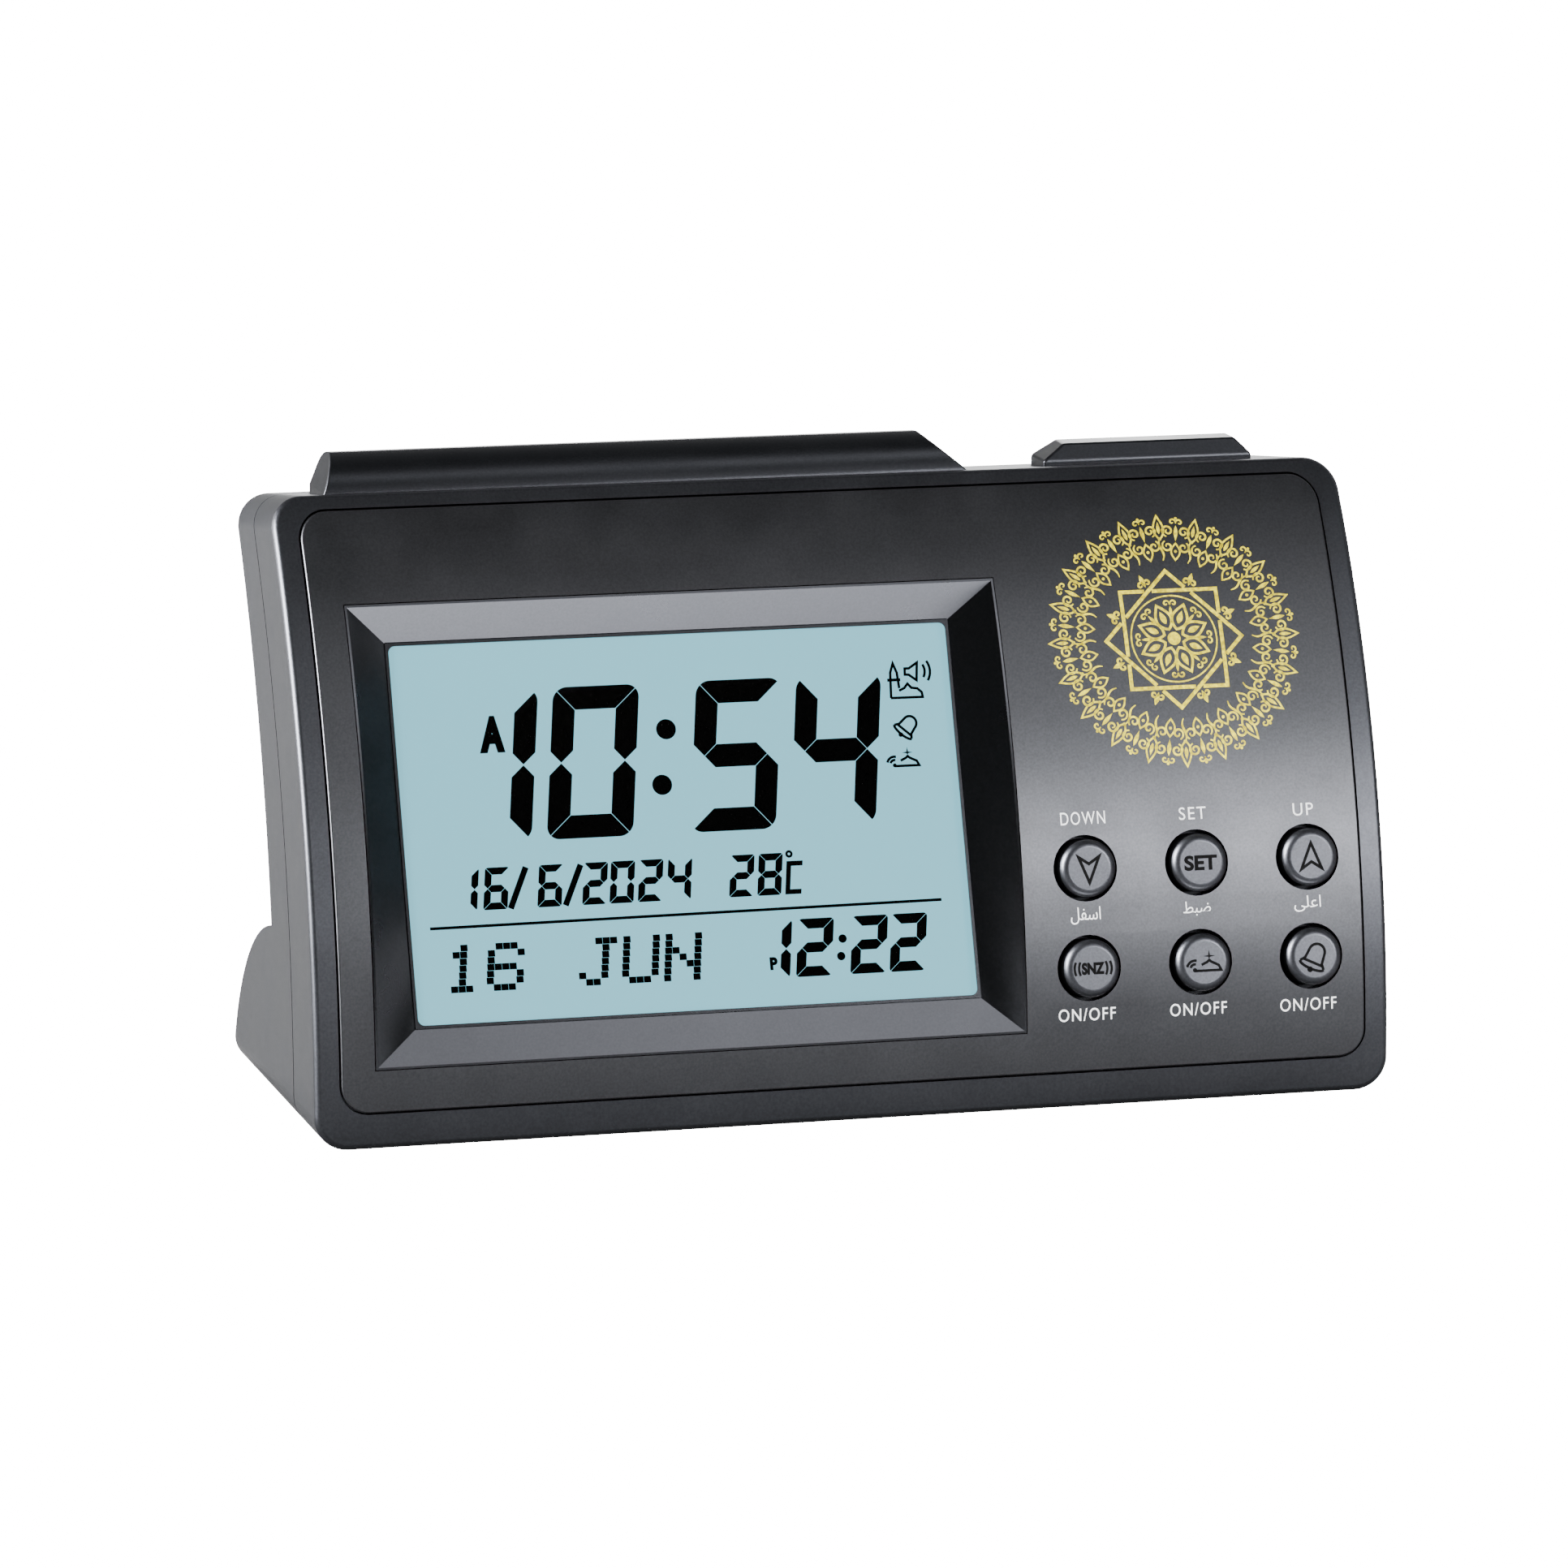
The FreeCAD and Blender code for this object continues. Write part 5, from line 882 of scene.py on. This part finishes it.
def outer_band(count=20):
    """Leaves on stems with curls on both sides, then a second row between them."""
    first = joined(
        stroke(leaf(17.2, 21.3, 0.85, 0.8), 0.3, closed=True), filled(leaf(18.1, 20.2, 0.3, 0.8)),
        both_sides(curl((1.55, 18.6), 1.05, 0.2, 250, -250, 0.34)),
        both_sides(curl((1.15, 15.9), 1.0, 0.2, 110, 560, 0.34)),
        wave(13.4, 17.3, 0.28, 0.36), disc((0, 17.2), 0.3, 10))
    second = joined(
        stroke(leaf(13.6, 16.5, 0.75, 1.0), 0.28, closed=True), disc((0, 15.1), 0.26, 10),
        both_sides(curl((0.6, 20.3), 0.62, 0.12, 200, -160, 0.28)),
        filled(leaf(16.9, 19.7, 0.34, 1.2)), disc((0, 21.0), 0.24, 10))
    return joined(round_about(first, count), round_about(second, count, 180 / count))


def inner_star():
    """Eight corners of the two squares, a circle that crosses them, and flowers between."""
    flower = joined(stroke(leaf(1.7, 6.1, 1.3, 0.8), 0.42, closed=True),
                    filled(leaf(2.7, 5.0, 0.5, 0.8)))
    between = joined(both_sides(curl((0.62, 6.0), 0.6, 0.12, 200, -170, 0.3)),
                     filled(leaf(3.6, 5.6, 0.25, 1.0)))
    notch = joined(both_sides(curl((0.62, 10.2), 0.62, 0.15, 200, -170, 0.36)),
                   filled(leaf(9.6, 11.9, 0.4, 1.1)))
    return joined(
        round_about(star_corner(11.6, 0.62, 0.66), 8),
        stroke(arc((0, 0), 7.3, 0, 355, 72), 0.26, closed=True),
        round_about(flower, 8, 22.5), round_about(between, 8), round_about(notch, 8, 22.5),
        disc((0, 0), 1.1))


rosette = joined(outer_band(), inner_star())
on_panel("gold_rosette", rosette, (57.25, 76.2), GOLD_INK)
print("the rosette is", round(np.ptp(rosette[0][:, 0]), 1), "mm across")

# %% [markdown]
# ## Soft edges
#
# The long bar and the short button are moulded with rounded edges, which catch the light as a
# thin line. We copy the CAD mesh, merge its loose triangles into whole faces, and let a Bevel
# modifier round every edge between faces that meet at more than 25 degrees.

# %% Bar and button with rounded edges
MERGED, FLAT_BELOW = 0.002 * MM, math.radians(0.5)
EDGE_RADIUS, EDGE_STEPS, ROUNDED_ABOVE = 0.32 * MM, 3, math.radians(25)


def softened(node, name, body):
    """A copy of a CAD node that is shown in its place: doubles merged, flat faces joined, and
    each sharp edge turned into an arc."""
    mesh = nodes[node].data.copy()
    if "custom_normal" in mesh.attributes:
        mesh.attributes.remove(mesh.attributes["custom_normal"])
    shape = bmesh.new()
    shape.from_mesh(mesh)
    bmesh.ops.remove_doubles(shape, verts=shape.verts, dist=MERGED)
    bmesh.ops.dissolve_limit(
        shape, angle_limit=FLAT_BELOW, verts=shape.verts, edges=shape.edges)
    shape.to_mesh(mesh)
    shape.free()
    mesh.shade_smooth()
    piece = bpy.data.objects.new(name, mesh)
    bpy.context.scene.collection.objects.link(piece)
    rounding = piece.modifiers.new("rounding", "BEVEL")
    rounding.width, rounding.segments, rounding.limit_method = EDGE_RADIUS, EDGE_STEPS, "ANGLE"
    rounding.angle_limit, rounding.harden_normals = ROUNDED_ABOVE, True
    rounding.use_clamp_overlap = False
    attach(piece, body)
    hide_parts(node)
    return piece


for node, name, body in (("light_bar", "light_bar_rounded", "light_bar_body"),
                         ("top_button", "top_button_rounded", "top_button_body")):
    piece = softened(node, name, body)
    print(name, "has", len(piece.data.polygons), "faces before rounding")

# %% [markdown]
# ## Icons on the keys
#
# Each key carries a cut-in picture filled with black. We lay the black a hair above the crown
# of the cap, where the eye can't tell ink from engraving.

# %% Icons
KEY_TOP = 2.3
ENGRAVED_LOW, ENGRAVED_HIGH = KEY_TOP - 0.05, KEY_TOP + 0.02
KEY_ACROSS, KEY_UP = (38.6, 57.6, 76.6), 8.1
KEYS = {
    "down": (KEY_ACROSS[0], KEY_UP), "set": (KEY_ACROSS[1], KEY_UP), "up": (KEY_ACROSS[2], KEY_UP),
    "snooze": (KEY_ACROSS[0], -KEY_UP), "azan": (KEY_ACROSS[1], -KEY_UP),
    "alarm": (KEY_ACROSS[2], -KEY_UP)}


def pointer():
    """An open arrow head that points up: two flanks and a notched foot."""
    return stroke([(0, 2.3), (1.75, -1.9), (0, -0.75), (-1.75, -1.9)], 0.48, closed=True)


def snooze_icon():
    """Three letters between double brackets of sound."""
    waves = [stroke(arc((side * x, 0), 2.4, turn - 27, turn + 27, 9), 0.38)
             for side, turn in ((1, 0), (-1, 180)) for x in (0.0, 0.75)]
    return joined(lettering("SNZ", 3.9, 2.0, 0.055), *waves)


ICONS = {"down": moved(pointer(), turn=180), "set": lettering("SET", 5.6, 2.5, 0.04),
         "up": pointer(), "snooze": snooze_icon(), "azan": moved(dome_with_sound(1.0), 0.2),
         "alarm": bell(1.15, -25, 0.44)}
for key, centre in KEYS.items():
    raised(key + "_icon", ICONS[key], on_slope(KEYS_TILT, KEYS_ORIGIN, centre), ENGRAVED_LOW,
           ENGRAVED_HIGH, ENGRAVED, body=key + "_key")
print("icons on", len(KEYS), "keys")

# %% [markdown]
# ## Floor
#
# The floor is a white light table: it glows for the eye but not for the clock, whose lower
# edges would otherwise turn grey.

# %% Floor
FLOOR_HALF, FLOOR_LEVEL, FLOOR_GLOW = 3.0, -0.1 * MM, 20.0


def glowing_paper():
    """Pale paper that also shines, but only at what the camera itself sees."""
    material = finish("floor_paper", grey(0.25), grey(0.26), 0.9, relief=0.0)
    tree = material.node_tree
    glow, add = tree.nodes.new("ShaderNodeEmission"), tree.nodes.new("ShaderNodeAddShader")
    seen, level = tree.nodes.new("ShaderNodeLightPath"), tree.nodes.new("ShaderNodeMath")
    level.operation = "MULTIPLY"
    level.inputs[1].default_value = FLOOR_GLOW
    surface = tree.nodes["Material Output"].inputs["Surface"]
    tree.links.new(surface.links[0].from_socket, add.inputs[0])
    tree.links.new(seen.outputs["Is Camera Ray"], level.inputs[0])
    tree.links.new(level.outputs[0], glow.inputs["Strength"])
    tree.links.new(glow.outputs[0], add.inputs[1])
    tree.links.new(add.outputs[0], surface)
    return material


floor_mesh = bpy.data.meshes.new("floor")
corners = ((-1, -1), (1, -1), (1, 1), (-1, 1))
floor_mesh.from_pydata(
    [(x * FLOOR_HALF, y * FLOOR_HALF, FLOOR_LEVEL) for x, y in corners], [], [(0, 1, 2, 3)])
floor_mesh.materials.append(glowing_paper())
floor = bpy.data.objects.new("floor", floor_mesh)
bpy.context.scene.collection.objects.link(floor)
print("floor:", 2 * FLOOR_HALF, "m")

# %% [markdown]
# ## Cards between light and object
#
# A photographer holds up a black card where a light shouldn't fall. Light linking does the same.
# The box on the left draws the thin bright lines along the edges, another the sheen of the long
# bar, and a third fills the frame round the display; each is kept off everything else. That
# frame is kept out of the glow on the panel. The display's glow is painted light, standing in for
# the light it would reflect, and it is kept off that frame too.

# %% Cards
EDGED = ("front_shell", "rear_shell", "fascia_panel", "down_button", "set_button", "up_button",
         "snooze_button", "azan_button", "alarm_button", "light_bar_rounded", "top_button_rounded")


def pieces_for_a_light(name, pieces, state):
    """A collection that a light reads: its pieces are the only ones lit (INCLUDE) or the only
    ones left dark (EXCLUDE)."""
    collection = bpy.data.collections.new(name)
    for piece in pieces:
        collection.objects.link(bpy.data.objects[piece])
    for member in collection.collection_objects:
        member.light_linking.link_state = state
    return collection


off_frame = pieces_for_a_light("off_frame", ["screen_bezel"], "EXCLUDE")
for light, collection in {
        "side_box": pieces_for_a_light("on_edges", EDGED, "INCLUDE"),
        "bar_sheen": pieces_for_a_light("on_bar", ["light_bar_rounded"], "INCLUDE"),
        "frame_fill": pieces_for_a_light("on_frame", ["screen_bezel"], "INCLUDE"),
        "panel_glow": off_frame, "lcd_panel": off_frame}.items():
    bpy.data.objects[light].light_linking.receiver_collection = collection
print("the side box reaches", len(EDGED), "pieces")
